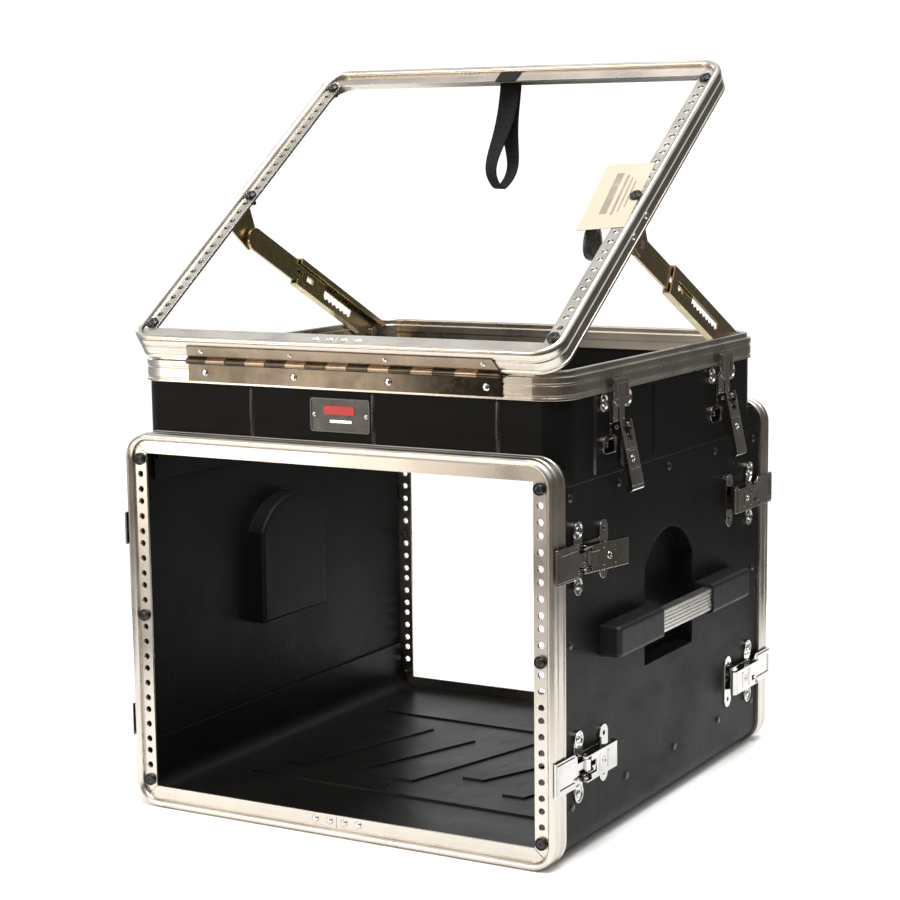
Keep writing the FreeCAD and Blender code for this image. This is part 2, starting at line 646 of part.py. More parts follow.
def rivets():
    """Dark rivets of the side panels, and plated ones of the latches, the hinge and the butt joints."""
    wall, front_column, rear_column = get("body_half_wide"), -231, 232
    spots = [(y, 357.5) for y in (front_column, -123, -1, 121, rear_column)]
    spots += [(y, 54.5) for y in (-228, -105, 15, 135, rear_column)]
    spots += [(rear_column, 210.5), (front_column, 215.5)]
    scattered("panel_rivets", [dome(4.3, 1.9)],
              [facing((side * wall, y, z), Vector(side, 0, 0)) for side in (-1, 1) for y, z in spots])
    places = []
    for sign in (-1, 1):
        places += [facing((x, sign * half_depth, 15.2), Vector(0, sign, 0)) for x in (-25.5, -8.5, 8.5, 25.5)]
    for latch in LATCHES:
        for across in (-NEAR_LOBE, NEAR_LOBE):
            on_lobe = Vector(latch["near"], across, get("sheet_steel"))
            places.append(latch["frame"].multiply(Placement(on_lobe, Rotation())))
    places += [facing((x, HINGE_FACE, HINGE_LOWER_ROW), Vector(0, -1, 0)) for x in HINGE_FIXINGS]
    scattered("plated_rivets", [dome(3.9, 1.8)], places)
    lid_spots = [(x, -lid_half_long + 16) for x in (-24, -7.5, 9, 25.5)]
    lid_places = [LID.multiply(Placement(Vector(x, y, 0), Rotation())) for x, y in lid_spots]
    for side in (-1, 1):
        for reach in (169.5, 204):
            along_rail = -lid_length / 2 + get("end_hole") + reach
            at = LID.multVec(Vector(side * (get("lid_half_wide") - 0.3), along_rail, -9.5))
            turn = Rotation(X_AXIS, get("lid_angle")) * Rotation(Z_AXIS, Vector(side, 0, 0))
            lid_places.append(Placement(at, turn))
    scattered("lid_rivets", [dome(3.6, 1.7)], lid_places)


# ---------------------------------------------------------------- piano hinge
HINGE_FACE = seat_front - 0.05 - get("leaf_thick")
HINGE_LOWER_ROW = pin_z - 11.5
HINGE_UPPER_ROW = pin_z + 10.8
HINGE_FIXINGS = [get("hinge_shift") + reach for reach in (-161, -53, 57, 165)]


def piano_hinge():
    """Two leaves with knuckles that take turns along one pin, and the upper leaf's screws."""
    half, count = get("hinge_half"), int(get("knuckles"))
    shift = get("hinge_shift")
    pitch = 2 * half / count
    radius, bore, thick = get("barrel_radius"), get("hinge_pin_radius") + 0.05, get("leaf_thick")
    gap, guard = 0.2, 0.4
    back = seat_front - 0.05

    def knuckles(first):
        rolls = []
        for i in range(first, count, 2):
            start = shift - half + i * pitch + gap
            rolls.append(Part.makeCylinder(radius, pitch - 2 * gap, Vector(start, pin_y, pin_z), X_AXIS))
        return rolls

    def clearances(first):
        starts = [shift - half + i * pitch - gap / 2 for i in range(first, count, 2)]
        return [Part.makeCylinder(radius + guard, pitch + gap, Vector(start, pin_y, pin_z), X_AXIS)
                for start in starts]

    hole = Part.makeCylinder(bore, 2 * half + 2, Vector(shift - half - 1, pin_y, pin_z), X_AXIS)
    lower = Part.makeBox(2 * half, thick, get("lower_leaf"),
                         Vector(shift - half, back - thick, pin_z - get("lower_leaf")))
    lower = lower.cut(clearances(1)).fuse(knuckles(0)).cut(hole).removeSplitter()
    shape_node("hinge_lower_leaf", lower)
    slant = 5.0
    corners = [Vector(shift - half, back, pin_z), Vector(shift + half, back, pin_z),
               Vector(shift + half - slant, back, pin_z + get("upper_leaf")),
               Vector(shift - half + slant, back, pin_z + get("upper_leaf"))]
    upper = Part.Face(Part.makePolygon(corners + corners[:1])).extrude(Vector(0, -thick, 0))
    upper = upper.cut(clearances(0)).fuse(knuckles(1)).cut(hole).removeSplitter()
    shape_node("hinge_upper_leaf", upper).Placement = TILT
    pin = Part.makeCylinder(get("hinge_pin_radius"), 2 * half - 0.4,
                            Vector(shift - half + 0.2, pin_y, pin_z), X_AXIS)
    shape_node("hinge_pin", pin)
    head = turned([(0, 0), (3.1, 0), (2.9, 0.7), (1.6, 1.5), (0, 1.7)])
    head = head.cut([Part.makeBox(3.4, 0.7, 1.2, Vector(-1.7, -0.35, 0.9)),
                     Part.makeBox(0.7, 3.4, 1.2, Vector(-0.35, -1.7, 0.9))])
    seats = [facing((x, HINGE_FACE, HINGE_UPPER_ROW), Vector(0, -1, 0), 20 * i)
             for i, x in enumerate(HINGE_FIXINGS)]
    scattered("hinge_screws", [head], [TILT.multiply(seat) for seat in seats])


# ---------------------------------------------------------------- handles
def handles():
    """Two recessed carrying handles: a ribbed grip bar between two cast caps on each side."""
    cap = new_body("cap_body")
    high, out = "Sizes.cap_high / 2", "Sizes.cap_out"
    section = new_sketch(cap, "cap_section", "XZ_Plane")
    rectangle(section, "0", "-" + high, out, high)
    pad(cap, section, "cap_pad", "Sizes.cap_long")
    reach_out = get("cap_out")
    round_edges(cap, "cap_long_round", "4.5",
                lambda e: along(e, Y_AXIS) and abs(e.CenterOfMass.x - reach_out) < 0.01)
    far_end = -get("cap_long")
    round_edges(cap, "cap_end_round", "5",
                lambda e: abs(e.CenterOfMass.y - far_end) < 0.01 and e.CenterOfMass.x > 1)
    socket = new_sketch(cap, "cap_socket", "XZ_Plane", "-1")
    rectangle(socket, "Sizes.cap_out - 13.7", "-Sizes.grip_high / 2 - 0.1", "Sizes.cap_out - 1.9",
              "Sizes.grip_high / 2 + 0.1")
    pocket(cap, socket, "cap_socket_cut", "1 + (Sizes.grip_long - Sizes.grip_gap) / 2 + 0.3", back=True)
    middle, shift = get("handle_mid"), 1.5
    wall, reach = get("body_half_wide"), get("grip_gap") / 2
    front = Placement(Vector(wall, shift - reach, middle), Rotation())
    doc.recompute()
    quarter = cap.Shape.copy()
    quarter.Placement = front
    rear = cap.Shape.mirror(Vector(), Y_AXIS)
    rear.translate(Vector(wall, shift + reach, middle))
    caps = [quarter, rear]
    shape_node("handle_caps", Part.makeCompound(caps + [c.mirror(Vector(), X_AXIS) for c in caps]))

    grip = new_body("grip_body")
    bar = new_sketch(grip, "grip_section", "XZ_Plane", "-Sizes.grip_long / 2")
    rectangle(bar, "Sizes.cap_out - 13.6", "-Sizes.grip_high / 2", "Sizes.cap_out - 2", "Sizes.grip_high / 2")
    pad(grip, bar, "grip_pad", "Sizes.grip_long")
    ribs = new_sketch(grip, "grip_ribs", "XZ_Plane", "-Sizes.grip_long / 2")
    rib_count = 5
    for i in range(rib_count):
        up = "(%d - %d / 2) * Sizes.grip_high / %d" % (i, rib_count - 1, rib_count + 1)
        rectangle(ribs, "Sizes.cap_out - 3", up + " - 0.7", "Sizes.cap_out", up + " + 0.7")
    pocket(grip, ribs, "grip_rib_cut", "Sizes.grip_long", back=True)
    doc.recompute()
    right = grip.Shape.copy()
    right.Placement = Placement(Vector(wall, shift, middle), Rotation())
    shape_node("handle_grips", Part.makeCompound([right, right.mirror(Vector(), X_AXIS)]))


# ---------------------------------------------------------------- latches
# A latch is drawn with X along the wall away from the frame it reaches over, Y across and Z out of the wall.
PIVOT = (29.0, 9.0)
CLAW_PIN = (40.0, 6.0)
NEAR_LOBE = 27.0
FAR_LOBE = 20.0


def latch_frame(point, away, out):
    """Placement of a latch from the frame lip's point, the direction away from it and the wall's normal."""
    return Placement(Vector(*point), Rotation(away, out.cross(away), out, "XZY"))


def latch_list():
    """All twelve latches: name, frame, how far the lever stands open, claw and base variants."""
    wall, lip = get("body_half_wide"), half_depth - get("latch_line")
    found = []
    for side, hand in ((1, "right"), (-1, "left")):
        out = Vector(side, 0, 0)
        for end, sign in (("front", 1), ("rear", -1)):
            for level, height in (("upper", 297.5), ("lower", 92.5)):
                opened = 12 if (hand, end, level) == ("right", "front", "upper") else 0
                place = latch_frame((side * wall, -sign * lip, height), Vector(0, sign, 0), out)
                found.append(dict(name="%s_%s_%s" % (hand, end, level), open=opened, near=29.0, far=86.0,
                                  top=False, frame=place))
        for end, y in (("front", -133), ("rear", 134)):
            place = latch_frame((side * wall, y, get("seat_lip") - 6), Vector(0, 0, -1), out)
            found.append(dict(name="%s_top_%s" % (hand, end), open=12, near=4.0, far=46.0, top=True,
                              frame=place))
    return found


LATCHES = latch_list()


def lever_turn(degrees):
    """Placement, in a latch's frame, of a lever opened by an angle."""
    return Placement(Vector(), Rotation(Vector(0, -1, 0), degrees), Vector(PIVOT[0], 0, PIVOT[1]))


def claw_shift(degrees):
    """Where the claw pin's travel has carried the claw, which keeps facing the same way."""
    pin = Vector(CLAW_PIN[0], 0, CLAW_PIN[1])
    return Placement(lever_turn(degrees).multVec(pin) - pin, Rotation())


def latch_base(name, near, far, start, end):
    """Base plate with four riveting lobes and two upright lugs."""
    thick = "Sizes.sheet_steel"
    pieces = [block(start, end, -13, 13, 0, thick),
              block(near - 9, near + 9, -NEAR_LOBE, NEAR_LOBE, 0, thick),
              block(far - 9, far + 9, -FAR_LOBE, FAR_LOBE, 0, thick)]
    holes = []
    for at, across in ((near, NEAR_LOBE), (far, FAR_LOBE)):
        for side in (-1, 1):
            pieces.append(barrel(9, thick, (at, side * across, 0), Z_AXIS))
    for side in (-1, 1):
        holes.append(barrel(2.6, 4, (far, side * FAR_LOBE, -1), Z_AXIS))
        pieces.append(barrel(9, thick + " + 1", (near, side * NEAR_LOBE, 0), Z_AXIS))
        holes.append(barrel(7.6, 3, (near, side * NEAR_LOBE, thick), Z_AXIS))
        low = 9.4 if side > 0 else -10.9
        pieces.append(block(PIVOT[0] - 2.9, PIVOT[0] + 2.9, low, low + 1.5, 1, PIVOT[1]))
        pieces.append(barrel(2.9, 1.5, (PIVOT[0], low, PIVOT[1]), Y_AXIS))
    holes.append(barrel(1.9, 40, (PIVOT[0], -20, PIVOT[1]), Y_AXIS))
    return cut(fuse(*pieces), *holes)


def lever():
    """Pressed steel lever: top plate, two side flanges, a rolled finger end and the claw's pin."""
    body = new_body("lever_body")
    section = new_sketch(body, "lever_section", "XZ_Plane", "-13")
    outline(section, [("23.7", "9"), ("25", "3.6"), ("28", "2.4"), ("31", "3.0"), ("66", "3.0"),
                      ("74", "9.5"), ("88", "10.5"), ("88", "13.7"), ("23.7", "13.7")])
    pad(body, section, "lever_pad", "26")
    hollow = new_sketch(body, "lever_hollow", "XZ_Plane", "-11.5")
    rectangle(hollow, "20", "0", "87", "13.7 - Sizes.sheet_steel")
    pocket(body, hollow, "lever_hollow_cut", "23", back=True)
    window = new_sketch(body, "lever_window", "XY_Plane", "20")
    outline(window, [("20", "-11.5"), ("34.5", "-11.5"), ("34.5", "-6.5"), ("45", "-6.5"), ("45", "6.5"),
                     ("34.5", "6.5"), ("34.5", "11.5"), ("20", "11.5")])
    pocket(body, window, "lever_window_cut", "15")
    roll = new_sketch(body, "lever_roll", "XZ_Plane", "-13")
    circle(roll, "90", "10", "3.7")
    pad(body, roll, "lever_roll_pad", "26")
    eyes = new_sketch(body, "lever_eyes", "XZ_Plane", "-20")
    circle(eyes, str(PIVOT[0]), str(PIVOT[1]), "1.95")
    circle(eyes, str(CLAW_PIN[0]), str(CLAW_PIN[1]), "1.6")
    pocket(body, eyes, "lever_eye_cut", "40", back=True)
    boss = new_sketch(body, "lever_boss", "XY_Plane", "13.7")
    circle(boss, "62", "0", "3.6")
    circle(boss, "62", "0", "2.2")
    rectangle(boss, "52", "-8.5", "54", "8.5")
    rectangle(boss, "70", "-8.5", "72", "8.5")
    pad(body, boss, "lever_boss_pad", "0.6")
    pin = barrel(1.6, 26, (CLAW_PIN[0], -13, CLAW_PIN[1]), Y_AXIS)
    return together(body, pin)


def claw(name, tip, shoulder):
    """Claw: an eye on the lever's pin, a narrow neck and a wide plate with a hooked end."""
    body = new_body(name + "_body")
    low, high = "4.6", "6.1"
    neck = new_sketch(body, name + "_neck", "XY_Plane", low)
    bend, chest, pin_x = str(shoulder - 5), str(shoulder), str(CLAW_PIN[0])
    outline(neck, [(str(tip), "-17"), (bend, "-17"), (chest, "-12"), (chest, "-6"), (pin_x, "-6"),
                   (pin_x, "6"), (chest, "6"), (chest, "12"), (bend, "17"), (str(tip), "17")])
    pad(body, neck, name + "_neck_pad", "Sizes.sheet_steel")
    hook = new_sketch(body, name + "_hook", "XZ_Plane", "-17")
    outline(hook, [(str(tip - 1.6), "4.2"), (str(tip - 0.4), "4.2"), (str(tip + 0.4), low),
                   (str(tip + 0.4), high), (str(tip - 1.0), high)])
    pad(body, hook, name + "_hook_pad", "34")
    ribs = new_sketch(body, name + "_ribs", "XY_Plane", high)
    for inner in (-14.5, 10.5):
        rectangle(ribs, str(tip + 0.2), str(inner), str(shoulder - 7), str(inner + 4))
    rectangle(ribs, str(tip + 0.2), "-10.5", str(tip + 4.2), "10.5")
    pad(body, ribs, name + "_ribs_pad", "1.1")
    eye = new_sketch(body, name + "_eye", "XZ_Plane", "-6")
    circle(eye, str(CLAW_PIN[0]), str(CLAW_PIN[1]), "3.4")
    pad(body, eye, name + "_eye_pad", "12")
    bore = new_sketch(body, name + "_bore", "XZ_Plane", "-10")
    circle(bore, str(CLAW_PIN[0]), str(CLAW_PIN[1]), "1.65")
    pocket(body, bore, name + "_bore_cut", "20", back=True)
    return body


def latches():
    """Twelve latches: bases and their pivot stubs as groups, each lever and claw on its own."""
    side_base = latch_base("side_base", 29.0, 86.0, 18, 92)
    top_base = latch_base("top_base", 4.0, 46.0, -5, 55)
    one_lever = lever()
    long_claw = claw("long_claw", -26.4, 18.0)
    short_claw = claw("short_claw", -18.0, 8.0)
    doc.recompute()
    bases, stubs = [], []
    for latch in LATCHES:
        plate = (top_base if latch["top"] else side_base).Shape.copy()
        plate.Placement = latch["frame"]
        bases.append(plate)
        for start in (-12.9, 9.3):
            stub = Part.makeCylinder(1.9, 3.6, Vector(PIVOT[0], start, PIVOT[1]), Y_AXIS)
            stub.Placement = latch["frame"]
            stubs.append(stub)
        opened = latch["open"]
        placed("latch_lever_" + latch["name"], one_lever, latch["frame"].multiply(lever_turn(opened)))
        placed("latch_claw_" + latch["name"], short_claw if latch["top"] else long_claw,
               latch["frame"].multiply(claw_shift(opened)))
    shape_node("latch_bases", Part.makeCompound(bases))
    shape_node("latch_pins", Part.makeCompound(stubs))


# ---------------------------------------------------------------- telescopic stays
LID_EYE_LOCAL = Vector(0, size("-Sizes.lid_units * Sizes.rack_unit / 2 + Sizes.end_hole + Sizes.arm_reach"),
                       -get("arm_drop"))
STAY_PIVOT = Vector(0, get("arm_pivot_y"), get("arm_pivot_z"))
LID_EYE = LID.multVec(LID_EYE_LOCAL)
STAY_SPAN = LID_EYE - STAY_PIVOT
# The stay is drawn with Y pointing back from the lid's eye to the stay's pivot, as if it lay level.
STAY_TURN = Rotation(Vector(0, -1, 0), STAY_SPAN)
CHANNEL_OUT = 235.4
CHANNEL_IN = 226.0
ROD_IN = 229.5
ROD_OUT = 232.5


def stay_channel():
    """Right stay's channel: web with a toothed slot, two flanges and two retaining lips."""
    half, long = "Sizes.channel_high / 2", "Sizes.channel_long"
    body = new_body("channel_body")
    section = new_sketch(body, "channel_section", "XZ_Plane", "-14")
    inner, outer = str(CHANNEL_IN), str(CHANNEL_OUT)
    web, lip = outer + " - 1.4", inner + " + 1.4"
    outline(section, [(outer, "-" + half), (outer, half), (inner, half), (inner, half + " - 6"),
                      (lip, half + " - 6"), (lip, half + " - 1.4"), (web, half + " - 1.4"), (web, "-%s + 1.4" % half),
                      (lip, "-%s + 1.4" % half), (lip, "-%s + 6" % half), (inner, "-%s + 6" % half),
                      (inner, "-" + half)])
    pad(body, section, "channel_pad", long + " + 14")
    slot = new_sketch(body, "channel_slot", "YZ_Plane", outer + " + 1")
    tooth, start = 9.0, -172.0
    edge = [(str(start), "4.5"), (str(start), "-2.5")]
    for i in range(13):
        edge += [(str(start + (i + 0.5) * tooth), "-6.0"), (str(start + (i + 1) * tooth), "-2.5")]
    edge.append((str(start + 13 * tooth), "4.5"))
    outline(slot, edge)
    pocket(body, slot, "channel_slot_cut", "3")
    bore = new_sketch(body, "channel_bore", "YZ_Plane", outer + " + 1")
    circle(bore, "0", "0", "3.05")
    pocket(body, bore, "channel_bore_cut", "4")
    return body


def stay_rod():
    """Right stay's sliding bar, rounded at the lid's end, with a row of weight-saving slots."""
    span = STAY_SPAN.Length
    body = new_body("rod_body")
    flat = new_sketch(body, "rod_flat", "YZ_Plane", str(ROD_IN))
    half = "Sizes.rod_high / 2"
    rectangle(flat, str(-span), "-" + half, "%s + Sizes.rod_long" % -span, half)
    pad(body, flat, "rod_pad", str(ROD_OUT - ROD_IN))
    end = new_sketch(body, "rod_end", "YZ_Plane", str(ROD_IN))
    circle(end, str(-span), "0", half)
    pad(body, end, "rod_end_pad", str(ROD_OUT - ROD_IN))
    slots = new_sketch(body, "rod_slots", "YZ_Plane", str(ROD_OUT + 1))
    for i in range(2):
        rectangle(slots, str(-span + 88 + 24 * i), "-3", str(-span + 102 + 24 * i), "3")
    pocket(body, slots, "rod_slot_cut", "6")
    return body


def stays():
    """Both stays with their brackets and pivots."""
    channel, rod = stay_channel(), stay_rod()
    where = Placement(STAY_PIVOT, STAY_TURN)
    for hand, make in (("right", lambda item: item), ("left", mirrored)):
        placed("arm_channel_" + hand, make(channel), where)
        placed("arm_rod_" + hand, make(rod), where)
    y, z = "Sizes.arm_pivot_y", "Sizes.arm_pivot_z"
    plate = block(235.9, 238.4, y + " - 26", y + " + 11", z + " - 13", z + " + 10")
    bored = cut(plate, barrel(3, 10, (232, y, z), X_AXIS))
    node("arm_pivot_brackets", together(bored, mirrored(bored)))
    pin = fuse(barrel(3, 5.2, (233.2, y, z), X_AXIS), barrel(6, 2, (231.6, y, z), X_AXIS))
    node("arm_pivot_pins", together(pin, mirrored(pin)))

    along_rail = LID_EYE_LOCAL.y
    foot = block(242.2, 244.2, along_rail - 40, along_rail + 20, -14, -4)
    shelf = block(235.8, 244.2, along_rail - 40, along_rail + 20, -5.5, -4)
    body = new_body("ear_body")
    ear = new_sketch(body, "ear_outline", "YZ_Plane", "235.8")
    eye_drop = "-Sizes.arm_drop"
    outline(ear, [(str(along_rail - 26), "-4"), (str(along_rail - 11), eye_drop + " - 7"),
                  (str(along_rail + 11), eye_drop + " - 7"), (str(along_rail + 20), "-4")])
    pad(body, ear, "ear_pad", "2")
    bracket = cut(fuse(foot, shelf, body), barrel(4, 10, (233, along_rail, eye_drop), X_AXIS))
    node("arm_brackets", together(bracket, mirrored(bracket))).Placement = LID
    stud = barrel(4, 5, (232.9, along_rail, eye_drop), X_AXIS)
    node("arm_rod_pins", together(stud, mirrored(stud))).Placement = LID


# ---------------------------------------------------------------- soft and loose pieces on the top frame
STRAP_ROOT = LID.multVec(Vector(-8.5, lid_half_long - 13.0, -5.9))
CARD_CORNERS = [(189, 165), (239, 172), (232, 279), (180, 276)]


def soft_pieces():
    """Pull strap, cardboard header and the bag of fastenings hung from it."""
    x, y, z = STRAP_ROOT
    half = "Sizes.strap_wide / 2"
    left, right = "%s - %s" % (x, half), "%s + %s" % (x, half)
    tail = block(left, right, y - 2.8, y + 2.8, "%s - Sizes.strap_long" % z, z)
    node("strap_loop", fuse(tail, barrel(2.8, "Sizes.strap_wide", (left, y, z), X_AXIS)))
    first = -lid_length / 2 + get("end_hole")
    points = [Vector(cx, first + cy, CARD_LIFT) for cx, cy in CARD_CORNERS]
    card = Part.Face(Part.makePolygon(points + points[:1])).extrude(Vector(0, 0, CARD_THICK))
    hole_x = get("hole_spread") / 2
    card = card.cut(Part.makeCylinder(3.3, 4, Vector(hole_x, first + 222.25, -1)))
    shape_node("header_card", card).Placement = LID
    bag = Part.makeBox(34, 46, 12, Vector(-17, -23, -6))
    bag = bag.makeFillet(5.0, bag.Edges)
    at = LID.multVec(Vector(197, first + 176, -22))
    shape_node("hardware_bag", bag).Placement = Placement(at, Rotation(Y_AXIS, 90) * Rotation(Z_AXIS, 12))


# ---------------------------------------------------------------- build, check and export
floor_tray()
right_panel = side_panel()
node("side_panel_right", right_panel)
node("side_panel_left", mirrored(right_panel))
top_collar()
badge()
rail_screws()
piano_hinge()
rivets()
handles()
latches()
stays()
soft_pieces()
doc.recompute()

for item in doc.Objects:
    assert "Invalid" not in item.State and "Error" not in item.State, item.Name + " failed"
os.makedirs("parts", exist_ok=True)
for name, item in nodes.items():
    shape = item.Shape
    assert not shape.isNull() and shape.isValid() and shape.Solids, name + " has no sound shape"
    shape.exportStep("parts/%s.step" % name)
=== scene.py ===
"""Looks of the tipping-top equipment rack case: finishes, soft goods, floor, light and camera.

Every length is in metres in the case's own frame: +X is the case's right, +Y its back and +Z up, with
the origin on the floor under the middle of the case.
"""
import json
import logging
import math
from dataclasses import dataclass, field
from enum import Enum
from typing import Callable, Sequence

import bmesh
import bpy
from mathutils import Matrix, Vector


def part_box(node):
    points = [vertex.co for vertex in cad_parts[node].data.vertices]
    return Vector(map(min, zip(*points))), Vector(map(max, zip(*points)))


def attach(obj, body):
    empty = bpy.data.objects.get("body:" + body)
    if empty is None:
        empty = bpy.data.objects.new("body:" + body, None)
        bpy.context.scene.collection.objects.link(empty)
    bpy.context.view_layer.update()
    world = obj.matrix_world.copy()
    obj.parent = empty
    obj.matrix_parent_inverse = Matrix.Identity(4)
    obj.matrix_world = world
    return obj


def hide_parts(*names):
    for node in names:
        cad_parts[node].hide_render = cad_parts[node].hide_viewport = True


LOG = logging.getLogger("rack_case")
Colour = tuple[float, float, float]
Point = tuple[float, float, float]

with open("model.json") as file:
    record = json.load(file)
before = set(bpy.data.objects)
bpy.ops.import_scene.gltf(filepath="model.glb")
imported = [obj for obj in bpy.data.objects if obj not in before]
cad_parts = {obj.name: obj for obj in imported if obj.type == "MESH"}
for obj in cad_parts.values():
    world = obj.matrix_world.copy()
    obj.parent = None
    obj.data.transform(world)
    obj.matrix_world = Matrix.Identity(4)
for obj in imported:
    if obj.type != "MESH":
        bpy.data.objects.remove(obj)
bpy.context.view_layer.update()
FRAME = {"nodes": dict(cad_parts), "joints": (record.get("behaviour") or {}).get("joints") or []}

SIDES = {"left": -1.0, "right": 1.0}
LID_TILT = math.radians(34.6)


class Ring(Enum):
    """Which plane the rectangle of an extruded rim lies in."""

    UPRIGHT = "upright"
    LEVEL = "level"


class Body(Enum):
    """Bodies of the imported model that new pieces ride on."""

    CASE = "case"
    LID = "tipping_frame"
    STRAP = "pull_strap"


def scaled(colour: Colour, factor: float, lift: float = 0.0) -> Colour:
    """A lighter or darker colour.

    Args:
        colour: the colour to start from.
        factor: what it is multiplied by.
        lift: what is added to it.

    Returns:
        The new colour, with no channel above 1.
    """
    return tuple(min(1.0, factor * channel + lift) for channel in colour)


# --------------------------------------------------------------------------- shader plumbing
class Tree:
    """A material's node tree with short calls for the nodes that the finishes use."""

    def __init__(self, name: str) -> None:
        """Starts an empty material.

        Args:
            name: the material's name.
        """
        self.material = bpy.data.materials.new(name)
        self.material.use_nodes = True
        self.nodes = self.material.node_tree.nodes
        self.links = self.material.node_tree.links
        self.shader = self.nodes["Principled BSDF"]

    def add(self, kind: str, **settings: object) -> bpy.types.Node:
        """Adds a node.

        Args:
            kind: Blender's node type.
            settings: attributes to set on it.

        Returns:
            The new node.
        """
        node = self.nodes.new(kind)
        for key, value in settings.items():
            setattr(node, key, value)
        return node

    def feed(self, target: bpy.types.NodeSocket, value: object) -> None:
        """Links or sets an input.

        Args:
            target: the input socket.
            value: another socket, or a number, colour or vector.
        """
        if isinstance(value, bpy.types.NodeSocket):
            self.links.new(value, target)
        elif isinstance(value, (tuple, list)) and len(value) == 3 and target.type == "RGBA":
            target.default_value = (*value, 1.0)
        else:
            target.default_value = value

    def set(self, **inputs: object) -> "Tree":
        """Sets inputs of the main shader; an underscore in a name stands for a space.

        Args:
            inputs: values or sockets by input name.

        Returns:
            This tree.
        """
        for key, value in inputs.items():
            self.feed(self.shader.inputs[key.replace("_", " ")], value)
        return self

    def place(self) -> bpy.types.NodeSocket:
        """Position on the piece in the case's frame, in metres."""
        return self.add("ShaderNodeTexCoord").outputs["Object"]

    def moved(self, vector: object, location: Point = (0, 0, 0), rotation: Point = (0, 0, 0),
              scale: Point = (1, 1, 1)) -> bpy.types.NodeSocket:
        """Moves, turns and scales a position.

        Args:
            vector: the position's socket.
            location: offset in metres.
            rotation: turn in radians.
            scale: scale along each axis.

        Returns:
            The mapped position.
        """
        node = self.add("ShaderNodeMapping")
        node.inputs["Location"].default_value = location
        node.inputs["Rotation"].default_value = rotation
        node.inputs["Scale"].default_value = scale
        self.feed(node.inputs["Vector"], vector)
        return node.outputs["Vector"]

    def maths(self, operation: str, first: object, second: object = 0.0) -> bpy.types.NodeSocket:
        """One arithmetic step.

        Args:
            operation: Blender's operation name.
            first: first operand.
            second: second operand.

        Returns:
            The result.
        """
        node = self.add("ShaderNodeMath", operation=operation)
        self.feed(node.inputs[0], first)
        self.feed(node.inputs[1], second)
        return node.outputs[0]

    def weighted(self, first: object, share: float, second: object,
                 other_share: float) -> bpy.types.NodeSocket:
        """Sum of two values, each times its own share.

        Args:
            first: first value.
            share: what the first is multiplied by.
            second: second value.
            other_share: what the second is multiplied by.

        Returns:
            The sum.
        """
        return self.maths("ADD", self.maths("MULTIPLY", first, share),
                          self.maths("MULTIPLY", second, other_share))

    def noise(self, vector: object, scale: float, detail: float = 2.0,
              rough: float = 0.5) -> bpy.types.NodeSocket:
        """Smooth noise.

        Args:
            vector: position.
            scale: features per metre.
            detail: octaves.
            rough: weight of the fine octaves.

        Returns:
            A value from 0 to 1.
        """
        node = self.add("ShaderNodeTexNoise")
        self.feed(node.inputs["Vector"], vector)
        node.inputs["Scale"].default_value = scale
        node.inputs["Detail"].default_value = detail
        node.inputs["Roughness"].default_value = rough
        return node.outputs["Fac"]

    def cells(self, vector: object, scale: float) -> bpy.types.NodeSocket:
        """Distance to the nearest cell centre.

        Args:
            vector: position.
            scale: cells per metre.

        Returns:
            The distance.
        """
        node = self.add("ShaderNodeTexVoronoi", feature="F1")
        self.feed(node.inputs["Vector"], vector)
        node.inputs["Scale"].default_value = scale
        return node.outputs["Distance"]

    def ramp(self, value: object, stops: Sequence[tuple[float, Colour]]) -> bpy.types.NodeSocket:
        """Colours along a value.

        Args:
            value: where to look.
            stops: positions and colours.

        Returns:
            The colour.
        """
        node = self.add("ShaderNodeValToRGB")
        elements = node.color_ramp.elements
        while len(elements) < len(stops):
            elements.new(0.5)
        for element, (position, colour) in zip(elements, stops):
            element.position = position
            element.color = (*colour, 1.0)
        self.feed(node.inputs[0], value)
        return node.outputs["Color"]

    def bands(self, vector: object, direction: str, scale: float,
              distortion: float = 0.0) -> bpy.types.NodeSocket:
        """Regular waves.

        Args:
            vector: position.
            direction: the axis that the waves follow.
            scale: how closely they stand.
            distortion: how far they wander.

        Returns:
            A value from 0 to 1.
        """
        node = self.add("ShaderNodeTexWave", wave_type="BANDS", bands_direction=direction)
        self.feed(node.inputs["Vector"], vector)
        node.inputs["Scale"].default_value = scale
        node.inputs["Distortion"].default_value = distortion
        return node.outputs["Fac"]

    def span(self, value: object, low: float, high: float, out_low: float,
             out_high: float) -> bpy.types.NodeSocket:
        """Rescales a value between two ranges, clamped.

        Args:
            value: the value.
            low: start of the source range.
            high: end of the source range.
            out_low: start of the result.
            out_high: end of the result.

        Returns:
            The rescaled value.
        """
        node = self.add("ShaderNodeMapRange")
        for index, number in enumerate((low, high, out_low, out_high), start=1):
            node.inputs[index].default_value = number
        self.feed(node.inputs[0], value)
        return node.outputs[0]

    def bump(self, height: object, distance: float, strength: float = 1.0,
             normal: object = None) -> bpy.types.NodeSocket:
        """Surface relief.

        Args:
            height: relief height from 0 to 1.
            distance: depth in metres.
            strength: how strongly it shows.
            normal: a normal to add the relief to.

        Returns:
            The bent normal.
        """
        node = self.add("ShaderNodeBump")
        node.inputs["Strength"].default_value = strength
        node.inputs["Distance"].default_value = distance
        self.feed(node.inputs["Height"], height)
        if normal is not None:
            self.feed(node.inputs["Normal"], normal)
        return node.outputs["Normal"]

    def rounded(self, radius: float) -> bpy.types.NodeSocket:
        """Normals softened over sharp edges.

        Args:
            radius: apparent edge radius in metres.

        Returns:
            The softened normal.
        """
        node = self.add("ShaderNodeBevel", samples=8)
        node.inputs["Radius"].default_value = radius
        return node.outputs["Normal"]


